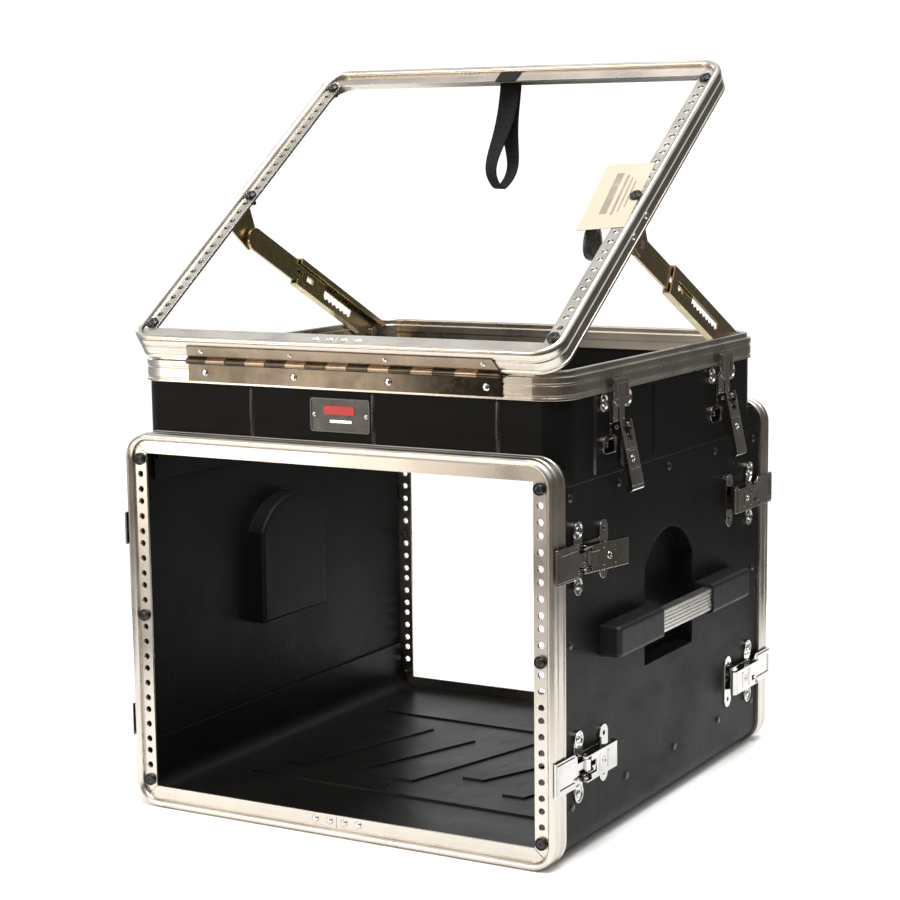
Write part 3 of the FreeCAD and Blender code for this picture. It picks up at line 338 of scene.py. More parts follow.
# --------------------------------------------------------------------------- finishes
@dataclass(frozen=True)
class Finish:
    """A finish that knows how to make its material."""

    name: str

    def make(self) -> bpy.types.Material:
        """Builds the material.

        Returns:
            The finished material.
        """
        raise NotImplementedError


@dataclass(frozen=True)
class ExtrudedAluminium(Finish):
    """Satin anodised extrusion whose fine die lines follow the rectangle that the rim makes."""

    ring: Ring
    centre: Point
    tilt: float = 0.0
    excess: float = 0.0
    colour: Colour = (0.53, 0.50, 0.455)
    roughness: float = 0.28
    die_lines: float = 330
    smears: float = 18
    relief: float = 0.00003
    anisotropy: float = 0.35

    def make(self) -> bpy.types.Material:
        """Builds the material.

        Returns:
            The finished material.
        """
        tree = Tree(self.name)
        from_centre = tree.moved(tree.place(), tuple(-c for c in self.centre))
        local = tree.moved(from_centre, rotation=(-self.tilt, 0, 0))
        parts = tree.add("ShaderNodeSeparateXYZ")
        tree.feed(parts.inputs[0], local)
        across = tree.maths("SUBTRACT", tree.maths("ABSOLUTE", parts.outputs["X"]), self.excess)
        other, depth = ("Z", "Y") if self.ring is Ring.UPRIGHT else ("Y", "Z")
        rectangle = tree.maths("MAXIMUM", across, tree.maths("ABSOLUTE", parts.outputs[other]))
        line = tree.maths("ADD", rectangle, parts.outputs[depth])
        stack = tree.add("ShaderNodeCombineXYZ")
        tree.feed(stack.inputs[0], line)
        fine = tree.noise(stack.outputs[0], self.die_lines)
        smear = tree.noise(local, self.smears)
        tone = tree.ramp(tree.weighted(fine, 0.6, smear, 0.4), [
            (0.32, scaled(self.colour, 0.80)), (0.52, self.colour), (0.74, scaled(self.colour, 1.10))])
        rough = tree.span(smear, 0.3, 0.7, self.roughness - 0.04, self.roughness + 0.08)
        normal = tree.bump(fine, self.relief, 0.22, tree.rounded(0.0005))
        tree.set(Base_Color=tone, Metallic=1.0, Roughness=rough, Normal=normal)
        tree.shader.inputs["Anisotropic"].default_value = self.anisotropy
        return tree.material


@dataclass(frozen=True)
class GrainedPlastic(Finish):
    """Thermoformed plastic sheet with a pebbled leather grain."""

    colour: Colour = (0.0038, 0.0042, 0.0042)
    grain: float = 620.0
    depth: float = 0.00026
    roughness: float = 0.40
    shine: float = 0.08
    dusty: Colour = (0.020, 0.020, 0.019)

    def make(self) -> bpy.types.Material:
        """Builds the material.

        Returns:
            The finished material.
        """
        tree = Tree(self.name)
        place = tree.place()
        pebble = tree.span(tree.cells(place, self.grain), 0.0, 0.75, 1.0, 0.0)
        coarse = tree.noise(place, self.grain * 0.42, 3, 0.6)
        relief = tree.weighted(pebble, 0.7, coarse, 0.5)
        stretched = tree.moved(place, scale=(1, 0.25, 1))
        scuffs = tree.span(tree.noise(stretched, 34, 4, 0.7), 0.56, 0.80, 0.0, 1.0)
        dust = tree.noise(place, 9, 3, 0.6)
        tone = tree.ramp(tree.weighted(dust, 0.7, scuffs, 0.22), [
            (0.25, self.colour), (0.62, scaled(self.colour, 1.5)), (0.95, self.dusty)])
        rough = tree.maths("ADD", tree.span(dust, 0.3, 0.7, self.roughness - 0.05, self.roughness + 0.08),
                           tree.maths("MULTIPLY", scuffs, 0.12))
        slow = tree.bump(tree.noise(place, 13), 0.0030, 0.35, tree.rounded(0.0016))
        normal = tree.bump(relief, self.depth, 0.85, slow)
        tree.set(Base_Color=tone, Roughness=rough, Normal=normal)
        tree.shader.inputs["Specular IOR Level"].default_value = self.shine
        return tree.material


@dataclass(frozen=True)
class Plated(Finish):
    """Plated or passivated metal with faint handling marks; several tones give a rainbow drift."""

    tones: tuple[Colour, ...] = ((0.58, 0.57, 0.56), (0.44, 0.435, 0.43))
    roughness: float = 0.06
    patch: float = 30.0
    edge: float = 0.0005
    marks: float = 0.08

    def make(self) -> bpy.types.Material:
        """Builds the material.

        Returns:
            The finished material.
        """
        tree = Tree(self.name)
        place = tree.place()
        drift = tree.noise(place, self.patch, 3, 0.6)
        steps = len(self.tones)
        stops = [(0.32 + 0.36 * i / max(1, steps - 1), tone) for i, tone in enumerate(self.tones)]
        scratch = tree.noise(tree.moved(place, rotation=(0.4, 0.7, 0.2), scale=(1, 14, 1)), 160, 2, 0.7)
        rough = tree.maths("ADD", tree.span(scratch, 0.45, 0.8, self.roughness, self.roughness + self.marks),
                           tree.span(drift, 0.3, 0.7, -0.02, 0.05))
        normal = tree.bump(scratch, 0.00003, 0.3, tree.rounded(self.edge))
        tree.set(Base_Color=tree.ramp(drift, stops), Metallic=1.0, Roughness=rough, Normal=normal)
        return tree.material


@dataclass(frozen=True)
class Coated(Finish):
    """Paint, oxide or moulded gloss: one colour with fine orange peel and worn spots."""

    colour: Colour = (0.012, 0.012, 0.013)
    roughness: float = 0.3
    texture: float = 900.0
    depth: float = 0.00003
    coat: float = 0.0
    edge: float = 0.0005
    shine: float = 0.5

    def make(self) -> bpy.types.Material:
        """Builds the material.

        Returns:
            The finished material.
        """
        tree = Tree(self.name)
        place = tree.place()
        peel = tree.noise(place, self.texture, 2, 0.6)
        wear = tree.noise(place, 60, 3, 0.6)
        tone = tree.ramp(wear, [(0.3, scaled(self.colour, 0.8)), (0.6, self.colour),
                                (0.85, scaled(self.colour, 1.5, 0.004))])
        rough = tree.span(wear, 0.3, 0.8, self.roughness, self.roughness + 0.12)
        normal = tree.bump(peel, self.depth, 0.7, tree.rounded(self.edge))
        tree.set(Base_Color=tone, Roughness=rough, Normal=normal)
        tree.shader.inputs["Specular IOR Level"].default_value = self.shine
        tree.shader.inputs["Coat Weight"].default_value = self.coat
        tree.shader.inputs["Coat Roughness"].default_value = 0.08
        return tree.material


@dataclass(frozen=True)
class Webbing(Finish):
    """Flat woven nylon: herringbone ribs across the strap and a matte sheen."""

    colour: Colour = (0.0045, 0.0045, 0.0050)
    rib_scale: float = 240
    cord_scale: float = 170

    def make(self) -> bpy.types.Material:
        """Builds the material.

        Returns:
            The finished material.
        """
        tree = Tree(self.name)
        place = tree.place()
        ribs = tree.bands(place, "Z", self.rib_scale, 1.2)
        cords = tree.bands(place, "X", self.cord_scale)
        weave = tree.maths("MULTIPLY", ribs, cords)
        fuzz = tree.noise(place, 1500, 2, 0.7)
        tone = tree.ramp(weave, [(0.0, scaled(self.colour, 0.5)), (1.0, scaled(self.colour, 2.2))])
        normal = tree.bump(tree.maths("ADD", weave, tree.maths("MULTIPLY", fuzz, 0.4)), 0.0004, 0.8)
        tree.set(Base_Color=tone, Roughness=0.85, Normal=normal)
        tree.shader.inputs["Sheen Weight"].default_value = 0.04
        tree.shader.inputs["Specular IOR Level"].default_value = 0.2
        tree.shader.inputs["Sheen Roughness"].default_value = 0.4
        return tree.material


@dataclass(frozen=True)
class CardStock(Finish):
    """Uncoated printed board with soft fibre mottling."""

    colour: Colour = (0.37, 0.335, 0.265)

    def make(self) -> bpy.types.Material:
        """Builds the material.

        Returns:
            The finished material.
        """
        tree = Tree(self.name)
        place = tree.place()
        fibre = tree.noise(tree.moved(place, scale=(1, 3, 1)), 900, 3, 0.7)
        stain = tree.noise(place, 40, 3, 0.6)
        tone = tree.ramp(tree.weighted(fibre, 0.4, stain, 0.6), [
            (0.3, scaled(self.colour, 0.92)), (0.7, self.colour)])
        tree.set(Base_Color=tone, Roughness=0.78, Normal=tree.bump(fibre, 0.00006, 0.6))
        return tree.material


@dataclass(frozen=True)
class Film(Finish):
    """Thin dark film of a wrinkled bag."""

    colour: Colour = (0.012, 0.012, 0.013)

    def make(self) -> bpy.types.Material:
        """Builds the material.

        Returns:
            The finished material.
        """
        tree = Tree(self.name)
        place = tree.place()
        crinkle = tree.noise(place, 120, 4, 0.7)
        tone = tree.ramp(crinkle, [(0.3, self.colour), (0.75, scaled(self.colour, 4))])
        tree.set(Base_Color=tone, Roughness=tree.span(crinkle, 0.3, 0.7, 0.12, 0.34),
                 Normal=tree.bump(crinkle, 0.0022, 0.8))
        return tree.material


@dataclass(frozen=True)
class StudioPaper(Finish):
    """Pale seamless floor."""

    colour: Colour = (0.93, 0.93, 0.925)

    def make(self) -> bpy.types.Material:
        """Builds the material.

        Returns:
            The finished material.
        """
        tree = Tree(self.name)
        tree.set(Base_Color=self.colour, Roughness=0.9)
        return tree.material


def seat_centre() -> Point:
    """Middle of the frame that the closed top frame sits on.

    Returns:
        Its place.
    """
    low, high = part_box("seat_frame")
    return tuple((a + b) / 2 for a, b in zip(low, high))


class Palette:
    """Makes each finish once and hands it out."""

    def __init__(self) -> None:
        """Starts with no material made."""
        self.made: dict[Finish, bpy.types.Material] = {}

    def get(self, finish: Finish) -> bpy.types.Material:
        """Material of a finish.

        Args:
            finish: the finish.

        Returns:
            Its material, made on first use.
        """
        if finish not in self.made:
            self.made[finish] = finish.make()
        return self.made[finish]

    def dress(self, piece: bpy.types.Object, finish: Finish) -> None:
        """Gives a piece one finish all over.

        Args:
            piece: the piece.
            finish: its finish.
        """
        material = self.get(finish)
        if piece.data.materials:
            for index in range(len(piece.data.materials)):
                piece.data.materials[index] = material
        else:
            piece.data.materials.append(material)


CHROME = Plated("bright_chrome")
# Both hinge leaves are the same plated metal. The dark base colour of the lower leaf and the warm tan one of
# the upper leaf are painted reflections of dark and tan surroundings.
HINGE_PAINTED_DARK_REFLECTION = Plated("hinge_lower_painted_dark_reflection", ((0.075, 0.062, 0.048), (0.045, 0.038, 0.030)), 0.10)
HINGE_PAINTED_WARM_REFLECTION = Plated("hinge_upper_painted_warm_reflection", ((0.27, 0.215, 0.16), (0.19, 0.15, 0.11)), 0.16)
GRIP = Plated("grip_aluminium", ((0.78, 0.77, 0.73), (0.66, 0.65, 0.62)), 0.30, 40.0, 0.0003, 0.06)
STEEL = Plated("zinc_steel", ((0.70, 0.69, 0.67), (0.58, 0.57, 0.56)), 0.26, 60.0, 0.0004, 0.10)
ZINC_TONES = ((0.50, 0.41, 0.20), (0.33, 0.31, 0.15), (0.46, 0.31, 0.20), (0.31, 0.33, 0.20))
YELLOW_ZINC = Plated("yellow_zinc", ZINC_TONES, 0.26, 24.0, 0.0005, 0.08)
SKIN = GrainedPlastic("grained_skin")
# The same grained plastic as the collar. On the creases it is glossier, and its lighter base colour is a
# painted glint along the ridges.
CREASE_GLINT_SKIN = GrainedPlastic("grained_crease_painted_glint", (0.006, 0.006, 0.006), 620.0, 0.00026, 0.26, 0.6)
INNER_SKIN = GrainedPlastic("grained_floor", (0.0045, 0.0044, 0.0042), 520.0, 0.00018, 0.30)
CAP_PAINT = Coated("cap_paint", (0.0060, 0.0064, 0.0070), 0.46, 700.0, 0.00010, 0.0, 0.0018, 0.3)
SCREW_BLACK = Coated("screw_black", (0.008, 0.008, 0.008), 0.25)
WASHER_BLACK = Coated("washer_black", (0.008, 0.008, 0.009), 0.12, 900.0, 0.00001, 0.5)
BADGE_DARK = Coated("badge_dark", (0.010, 0.010, 0.011), 0.25)
BADGE_RIM = Coated("badge_rim", (0.09, 0.09, 0.09), 0.3)
BADGE_RED = Coated("badge_red", (0.55, 0.02, 0.02), 0.35)
WEBBING = Webbing("black_webbing")
CARD = CardStock("card_stock")
CARD_INK = Coated("card_ink", (0.21, 0.185, 0.15), 0.7)
FILM = Film("bag_film")


# --------------------------------------------------------------------------- mesh helpers
def mesh_object(name: str, build: Callable[[bmesh.types.BMesh], None],
                smooth: bool = True) -> bpy.types.Object:
    """Makes an object from a bmesh recipe.

    Args:
        name: the object's name.
        build: fills the empty bmesh.
        smooth: whether faces are shaded smooth.

    Returns:
        The linked object.
    """
    work = bmesh.new()
    build(work)
    bmesh.ops.recalc_face_normals(work, faces=work.faces)
    mesh = bpy.data.meshes.new(name)
    work.to_mesh(mesh)
    work.free()
    piece = bpy.data.objects.new(name, mesh)
    bpy.context.scene.collection.objects.link(piece)
    for polygon in mesh.polygons:
        polygon.use_smooth = smooth
    return piece


def loft(work: bmesh.types.BMesh, rows: Sequence[Sequence[bmesh.types.BMVert]], closed: bool = True,
         capped: bool = False) -> None:
    """Joins rows of corners with faces.

    Args:
        work: the bmesh to fill.
        rows: rows with the same number of corners each.
        closed: whether a row's last corner joins its first.
        capped: whether the first and last rows get a face of their own.
    """
    count = len(rows[0])
    for lower, upper in zip(rows, rows[1:]):
        for i in range(count if closed else count - 1):
            j = (i + 1) % count
            work.faces.new((lower[i], lower[j], upper[j], upper[i]))
    if capped:
        work.faces.new(rows[0][::-1])
        work.faces.new(rows[-1])


def rounded_outline(width: float, height: float, radius: float, steps: int = 5) -> list[tuple[float, float]]:
    """Corners of a rounded rectangle about the origin.

    Args:
        width: overall width.
        height: overall height.
        radius: corner radius.
        steps: segments per corner.

    Returns:
        Points in order.
    """
    points = []
    for quarter, (sx, sy) in enumerate(((1, 1), (-1, 1), (-1, -1), (1, -1))):
        for step in range(steps + 1):
            angle = math.pi / 2 * (quarter + step / steps)
            points.append((sx * (width / 2 - radius) + radius * math.cos(angle),
                           sy * (height / 2 - radius) + radius * math.sin(angle)))
    return points


def slab(name: str, outline: Sequence[tuple[float, float]], thick: float, place: Matrix,
         edge: float = 0.0) -> bpy.types.Object:
    """A flat plate with a soft edge.

    Args:
        name: the object's name.
        outline: its outline in its own plane.
        thick: its thickness along its own Z.
        place: where its underside lies.
        edge: bevel width of its edges.

    Returns:
        The plate.
    """
    def build(work: bmesh.types.BMesh) -> None:
        """Raises the outline into a plate.

        Args:
            work: the bmesh to fill.
        """
        rows = [[work.verts.new((x, y, z)) for x, y in outline] for z in (0.0, thick)]
        loft(work, rows, capped=True)
        work.transform(place)

    piece = mesh_object(name, build, smooth=False)
    if edge > 0:
        bevel = piece.modifiers.new("edge", "BEVEL")
        bevel.width = edge
        bevel.segments = 2
        bevel.limit_method = "ANGLE"
        bevel.angle_limit = math.radians(40)
    return piece


class TopFrame:
    """Where things are on the tilted frame: X runs across it, Y up the slope and Z off its rail face."""

    FACE_RISE = 0.0146
    FIRST_HOLE = -0.2159

    def __init__(self, joints: Sequence[dict]) -> None:
        """Works the frame's middle out from the hinge and the seat it closes on.

        Args:
            joints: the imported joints.
        """
        hinge = next(joint for joint in joints if joint["name"] == "lid_tilt")
        self.pin = Vector(hinge["pos_m"])
        low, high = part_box("seat_frame")
        closed = Vector((0.0, (low[1] + high[1]) / 2, high[2] + self.FACE_RISE))
        self.turn = Matrix.Rotation(LID_TILT, 4, "X")
        self.middle = self.pin + self.turn @ (closed - self.pin)

    def at(self, across: float, along: float, above: float) -> Matrix:
        """Placement of something on the frame.

        Args:
            across: metres to the right of its middle.
            along: metres up the slope from its middle.
            above: metres above its rail face.

        Returns:
            The placement.
        """
        return Matrix.Translation(self.middle) @ self.turn @ Matrix.Translation((across, along, above))


# --------------------------------------------------------------------------- sub-assemblies
@dataclass
class MouldedBody:
    """Floor tray, side panels and collar, with the creases moulded into the front and the sides."""

    collar_side_x: float = 0.2448
    collar_front_y: float = -0.2471
    crease_xs: tuple[float, ...] = (-0.105, 0.0385, 0.177)
    crease_low: float = 0.3965
    crease_high: float = 0.4492
    crease_wide: float = 0.0075
    crease_proud: float = 0.0024
    crease_sink: float = 0.0001
    side_crease_y: float = -0.177
    side_crease_low: float = 0.372
    arc: tuple[tuple[float, float], ...] = ((-1.0, -0.2), (-0.6, 0.65), (0.0, 1.0), (0.6, 0.65), (1.0, -0.2))
    taper: tuple[tuple[float, float], ...] = ((0.0, 0.1), (0.04, 0.8), (0.5, 1.0), (0.96, 0.8), (1.0, 0.1))

    def crease(self, name: str, start: Point, end: Point, out: Point) -> bpy.types.Object:
        """A slender rounded ridge along a wall.

        Args:
            name: the ridge's name.
            start: lower end on the wall.
            end: upper end on the wall.
            out: the wall's outward direction.

        Returns:
            The ridge.
        """
        a, b, n = Vector(start), Vector(end), Vector(out)
        side = (b - a).normalized().cross(n) * self.crease_wide / 2

        def build(work: bmesh.types.BMesh) -> None:
            """Lofts the ridge between its tapered ends.

            Args:
                work: the bmesh to fill.
            """
            rows = []
            for along, swell in self.taper:
                centre = a.lerp(b, along)
                rows.append([work.verts.new(centre + side * s * swell + n * self.crease_proud * h * swell)
                             for s, h in self.arc])
            loft(work, rows, closed=False)

        return mesh_object(name, build)

    def build(self, palette: Palette) -> list[bpy.types.Object]:
        """Dresses the moulded nodes and adds the creases.

        Args:
            palette: the finishes.

        Returns:
            The new pieces.
        """
        nodes = FRAME["nodes"]
        for name in ("side_panel_left", "side_panel_right", "top_collar"):
            palette.dress(nodes[name], SKIN)
        palette.dress(nodes["floor_tray"], INNER_SKIN)
        pieces = []
        for i, x in enumerate(self.crease_xs):
            start = (x, self.collar_front_y, self.crease_low)
            end = (x, self.collar_front_y, self.crease_high)
            pieces.append(self.crease(f"collar_crease_{i + 1}", start, end, (0, -1, 0)))
        for hand, side in SIDES.items():
            x = side * (self.collar_side_x - self.crease_sink)
            start = (x, self.side_crease_y, self.side_crease_low)
            end = (x, self.side_crease_y, self.crease_high)
            pieces.append(self.crease(f"collar_side_crease_{hand}", start, end, (side, 0, 0)))
        for piece in pieces:
            # The creases get the glossier copy of the skin, whose lighter base colour is a painted glint.
            palette.dress(piece, CREASE_GLINT_SKIN)
            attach(piece, Body.CASE.value)
        return pieces


@dataclass
class Rims:
    """The extruded aluminium frames of the bays, the collar and the tipping top."""

    bay_middle: Point = (0.0, 0.0, 0.1995)
    bay_excess: float = 0.049
    seat_excess: float = 0.0021

    def build(self, palette: Palette, top: TopFrame) -> None:
        """Gives each rim lines that follow its own rectangle.

        Args:
            palette: the finishes.
            top: the tilted frame's placement.
        """
        nodes = FRAME["nodes"]
        bay = ExtrudedAluminium("rim_bay", Ring.UPRIGHT, self.bay_middle, 0.0, self.bay_excess)
        seat = ExtrudedAluminium("rim_seat", Ring.LEVEL, seat_centre(), 0.0, self.seat_excess)
        tipping = ExtrudedAluminium("rim_top", Ring.LEVEL, tuple(top.middle), LID_TILT, self.seat_excess)
        palette.dress(nodes["front_frame"], bay)
        palette.dress(nodes["rear_frame"], bay)
        palette.dress(nodes["seat_frame"], seat)
        palette.dress(nodes["lid_frame"], tipping)


@dataclass
class Fastenings:
    """Rack screws, cup washers, rivets and pins: small nodes that only need finishes."""

    finishes: dict[str, Finish] = field(default_factory=lambda: {
        "rack_screws_case": SCREW_BLACK, "rack_screws_lid": SCREW_BLACK,
        "cup_washers_case": WASHER_BLACK, "cup_washers_lid": WASHER_BLACK,
        "panel_rivets": SCREW_BLACK, "plated_rivets": CHROME, "lid_rivets": STEEL, "hinge_screws": STEEL,
        "hinge_pin": STEEL, "latch_pins": STEEL, "badge_screws": STEEL,
        "arm_pivot_pins": STEEL, "arm_rod_pins": STEEL})

    def build(self, palette: Palette) -> None:
        """Dresses the fastenings.

        Args:
            palette: the finishes.
        """
        for name, finish in self.finishes.items():
            palette.dress(FRAME["nodes"][name], finish)


@dataclass
class Ironmongery:
    """Hinge leaves, latches, handles and stays, which keep their shapes from the model."""

    latches: tuple[str, ...] = ("latch_lever", "latch_claw", "latch_bases")
    stays: tuple[str, ...] = ("arm_channel", "arm_rod_left", "arm_rod_right", "arm_brackets",
                              "arm_pivot_brackets")

    def build(self, palette: Palette) -> None:
        """Dresses the ironmongery.

        Args:
            palette: the finishes.
        """
        nodes = FRAME["nodes"]
        for name, node in nodes.items():
            if name.startswith(self.latches):
                palette.dress(node, CHROME)
            elif name.startswith(self.stays):
                palette.dress(node, YELLOW_ZINC)
        # One plate with two base colours: a painted dark reflection on the lower leaf and a painted warm
        # reflection on the upper leaf.
        palette.dress(nodes["hinge_lower_leaf"], HINGE_PAINTED_DARK_REFLECTION)
        palette.dress(nodes["hinge_upper_leaf"], HINGE_PAINTED_WARM_REFLECTION)
        palette.dress(nodes["handle_caps"], CAP_PAINT)
        palette.dress(nodes["handle_grips"], GRIP)


@dataclass
class Badge:
    """Blank badge: dark plate, raised pale rim and two plain bars."""

    rim_wide: float = 0.0016
    rim_high: float = 0.0008
    rim_gap: float = 0.0004
    corner: float = 0.003
    inner_corner: float = 0.002
    bar_long: float = 0.036
    bar_high: float = 0.0085
    thin_bar_share: float = 0.72
    thin_bar_high: float = 0.003
    bar_thick: float = 0.0005

    def build(self, palette: Palette) -> list[bpy.types.Object]:
        """Dresses the plate and adds its rim and bars.

        Args:
            palette: the finishes.

        Returns:
            The new pieces.
        """
        palette.dress(FRAME["nodes"]["badge_plate"], BADGE_DARK)
        low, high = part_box("badge_plate")
        wide, tall = high[0] - low[0], high[2] - low[2]
        middle = Vector(((low[0] + high[0]) / 2, low[1], (low[2] + high[2]) / 2))
        face = Matrix.Translation(middle) @ Matrix.Rotation(math.pi / 2, 4, "X")
        outer = rounded_outline(wide - self.rim_gap, tall - self.rim_gap, self.corner)
        inner = rounded_outline(wide - 2 * self.rim_wide, tall - 2 * self.rim_wide, self.inner_corner)

        def build(work: bmesh.types.BMesh) -> None:
            """Makes the raised rim as a ring with a square section.

            Args:
                work: the bmesh to fill.
            """
            section = ((outer, 0.0), (outer, self.rim_high), (inner, self.rim_high), (inner, 0.0))
            rows = [[work.verts.new((x, y, z)) for x, y in outline] for outline, z in section]
            loft(work, rows + rows[:1])
            work.transform(face)

        rim = mesh_object("badge_rim", build, smooth=False)
        palette.dress(rim, BADGE_RIM)
        red = slab("badge_bar_wide", rounded_outline(self.bar_long, self.bar_high, 0.002), self.bar_thick,
                   face @ Matrix.Translation((-0.001, 0.005, 0.0)))
        palette.dress(red, BADGE_RED)
        thin = rounded_outline(self.bar_long * self.thin_bar_share, self.thin_bar_high, 0.001)
        pale = slab("badge_bar_thin", thin, self.bar_thick, face @ Matrix.Translation((0.001, -0.006, 0.0)))
        palette.dress(pale, STEEL)
        pieces = [rim, red, pale]
        for piece in pieces:
            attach(piece, Body.CASE.value)
        return pieces


@dataclass
class HeaderCard:
    """Printed card held by the middle screw of the right rail, and the little bag stapled under it."""

    corners: tuple[tuple[float, float], ...] = (
        (0.189, 0.165), (0.239, 0.172), (0.232, 0.279), (0.180, 0.276))
    thick: float = 0.0005
    lift: float = 0.00015
    ink_thick: float = 0.00012
    bars: tuple[tuple[float, float, float, float], ...] = (
        (0.32, 0.22, 0.15, 0.62), (0.56, 0.20, 0.05, 0.60),
        (0.68, 0.24, 0.03, 0.52), (0.78, 0.30, 0.03, 0.40))
    bag_rings: int = 18
    bag_spokes: int = 28

    def build(self, palette: Palette, top: TopFrame) -> list[bpy.types.Object]:
        """Makes the card with its printed bars, and the bag.

        Args:
            palette: the finishes.
            top: the tilted frame's placement.

        Returns:
            The new pieces.
        """
        outline = [(x, top.FIRST_HOLE + y) for x, y in self.corners]
        card = slab("card_board", outline, self.thick, top.at(0, 0, self.lift))
        palette.dress(card, CARD)
        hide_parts("header_card")
        pieces = [card]
        a, b, _, d = (Vector(p) for p in outline)
        across, along = b - a, d - a
        for i, (u, v, wide, long) in enumerate(self.bars):
            spots = [(u, v), (u + wide, v), (u + wide, v + long), (u, v + long)]
            points = [tuple(a + across * p + along * q) for p, q in spots]
            bar = slab(f"card_print_{i + 1}", points, self.ink_thick, top.at(0, 0, self.lift + self.thick))
            palette.dress(bar, CARD_INK)
            pieces.append(bar)
        bag = self.bag()
        palette.dress(bag, FILM)
        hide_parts("hardware_bag")
        pieces.append(bag)
        for piece in pieces:
            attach(piece, Body.LID.value)
        return pieces

    def bag(self) -> bpy.types.Object:
        """A slack film bag: a closed pillow, full at the bottom and gathered at its stapled top.

        Returns:
            The bag.
        """
        low, high = (Vector(corner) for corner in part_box("hardware_bag"))
        middle, half = (low + high) / 2, (high - low) / 2

        def build(work: bmesh.types.BMesh) -> None:
            """Lofts the pillow in rings from bottom to top.

            Args:
                work: the bmesh to fill.
            """
            rows = []
            for i in range(self.bag_rings + 1):
                rise = -1 + 2 * i / self.bag_rings
                slim = 1.0 - 0.28 * (rise + 1) / 2
                full = math.sqrt(max(0.0, 1 - min(1.0, abs(rise)) ** 3)) * slim + 0.04
                row = []
                for j in range(self.bag_spokes):
                    angle = 2 * math.pi * j / self.bag_spokes
                    fold = 1 + 0.10 * math.sin(5 * angle + 3 * rise) + 0.05 * math.sin(11 * angle - 5 * rise)
                    row.append(work.verts.new(middle + Vector((
                        half.x * 0.92 * full * math.cos(angle) * fold,
                        half.y * 0.86 * full * math.copysign(abs(math.sin(angle)) ** 0.7, math.sin(angle)),
                        half.z * 0.94 * rise))))
                rows.append(row)
            loft(work, rows, capped=True)

        piece = mesh_object("film_bag", build)
        smooth = piece.modifiers.new("smooth", "SUBSURF")
        smooth.levels = smooth.render_levels = 1
        return piece


@dataclass
class PullStrap:
    """A loop of flat webbing over the far edge of the tipping frame, which twists as it hangs."""

    rail_along: float = 0.2300
    wide: float = 0.025
    thick: float = 0.0014
    spread: float = 0.0125
    twist: float = math.radians(-38)
    lean: float = -0.006
    slack: float = 0.013
    steps: int = 44
    run_gap: float = 0.0012
    root: float = 0.001
    over_long: float = 0.021
    over_lift: float = 0.0002
    over_edge: float = 0.0003

    def spine(self, top: float, bottom: float, x: float, y: float) -> list[tuple[Vector, Vector]]:
        """Centre and width direction along the loop, down one run and up the other.

        Args:
            top: height of the loop's root.
            bottom: height of its lowest point.
            x: the root's place across the case.
            y: the root's place from front to back.

        Returns:
            One entry for each step.
        """
        rows = []
        drop = top - bottom - self.thick
        for i in range(self.steps + 1):
            share = i / self.steps
            angle = 2 * math.pi * share - math.pi / 2
            depth = ((1 + math.sin(angle)) / 2) ** 0.75
            turn = self.twist * depth * depth * (3 - 2 * depth)
            across = Vector((math.cos(turn), math.sin(turn), 0))
            outward = Vector((-math.sin(turn), math.cos(turn), 0))
            gap = self.spread * math.sin(math.pi * min(1.0, depth * 0.96 + 0.04) ** 3) ** 0.9
            side = -1.0 if share < 0.5 else 1.0
            bow = gap * side * (1.0 if depth < 0.985 else 0.35)
            shift = self.run_gap * side
            reach = abs(across.y) * self.wide / 2 + outward.y * (self.spread + self.thick) * depth
            inward = max(0.0, reach - self.run_gap)
            hang = Vector((x + self.lean * depth ** 1.4, y - inward, top - drop * depth))
            rows.append((hang + outward * (bow + shift), across))
        return rows

    def build(self, palette: Palette, top: TopFrame) -> list[bpy.types.Object]:
        """Makes the loop and its part that lies over the rail.

        Args:
            palette: the finishes.
            top: the tilted frame's placement.

        Returns:
            The new pieces.
        """
        low, high = (Vector(corner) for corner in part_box("strap_loop"))
        x, y = (low.x + high.x) / 2, (low.y + high.y) / 2
        spine = self.spine(high.z - self.root, low.z + self.slack, x, y)

        def build(work: bmesh.types.BMesh) -> None:
            """Sweeps the flat webbing along its loop.

            Args:
                work: the bmesh to fill.
            """
            rows = []
            for i, (centre, across) in enumerate(spine):
                before, after = spine[max(0, i - 1)][0], spine[min(self.steps, i + 1)][0]
                normal = (after - before).normalized().cross(across).normalized() * self.thick / 2
                half = across * self.wide / 2
                rows.append([work.verts.new(centre - half + normal), work.verts.new(centre + half + normal),
                             work.verts.new(centre + half - normal), work.verts.new(centre - half - normal)])
            loft(work, rows, capped=True)

        strap = mesh_object("webbing_loop", build, smooth=False)
        palette.dress(strap, WEBBING)
        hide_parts("strap_loop")
        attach(strap, Body.STRAP.value)
        over = slab("webbing_over_rail", rounded_outline(self.wide, self.over_long, 0.001), self.thick,
                    top.at(x, self.rail_along, self.over_lift), self.over_edge)
        palette.dress(over, WEBBING)
        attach(over, Body.LID.value)
        return [strap, over]


# --------------------------------------------------------------------------- studio
@dataclass(frozen=True)
class Panel:
    """One rectangular soft light."""

    name: str
    place: Point
    aim: Point
    size: tuple[float, float]
    power: float
    colour: Colour

    def hang(self) -> None:
        """Adds the light to the scene, facing its aim."""
        data = bpy.data.lights.new(self.name, "AREA")
        data.shape = "RECTANGLE"
        data.size, data.size_y = self.size
        data.energy = self.power
        data.color = self.colour
        light = bpy.data.objects.new(self.name, data)
        light.location = self.place
        light.rotation_euler = (Vector(self.aim) - Vector(self.place)).to_track_quat("-Z", "Y").to_euler()
        bpy.context.scene.collection.objects.link(light)


@dataclass(frozen=True)
class Lobe:
    """A region of the surroundings with one colour, which fades out round a direction."""

    toward: Point
    starts: float
    full: float
    colour: Colour


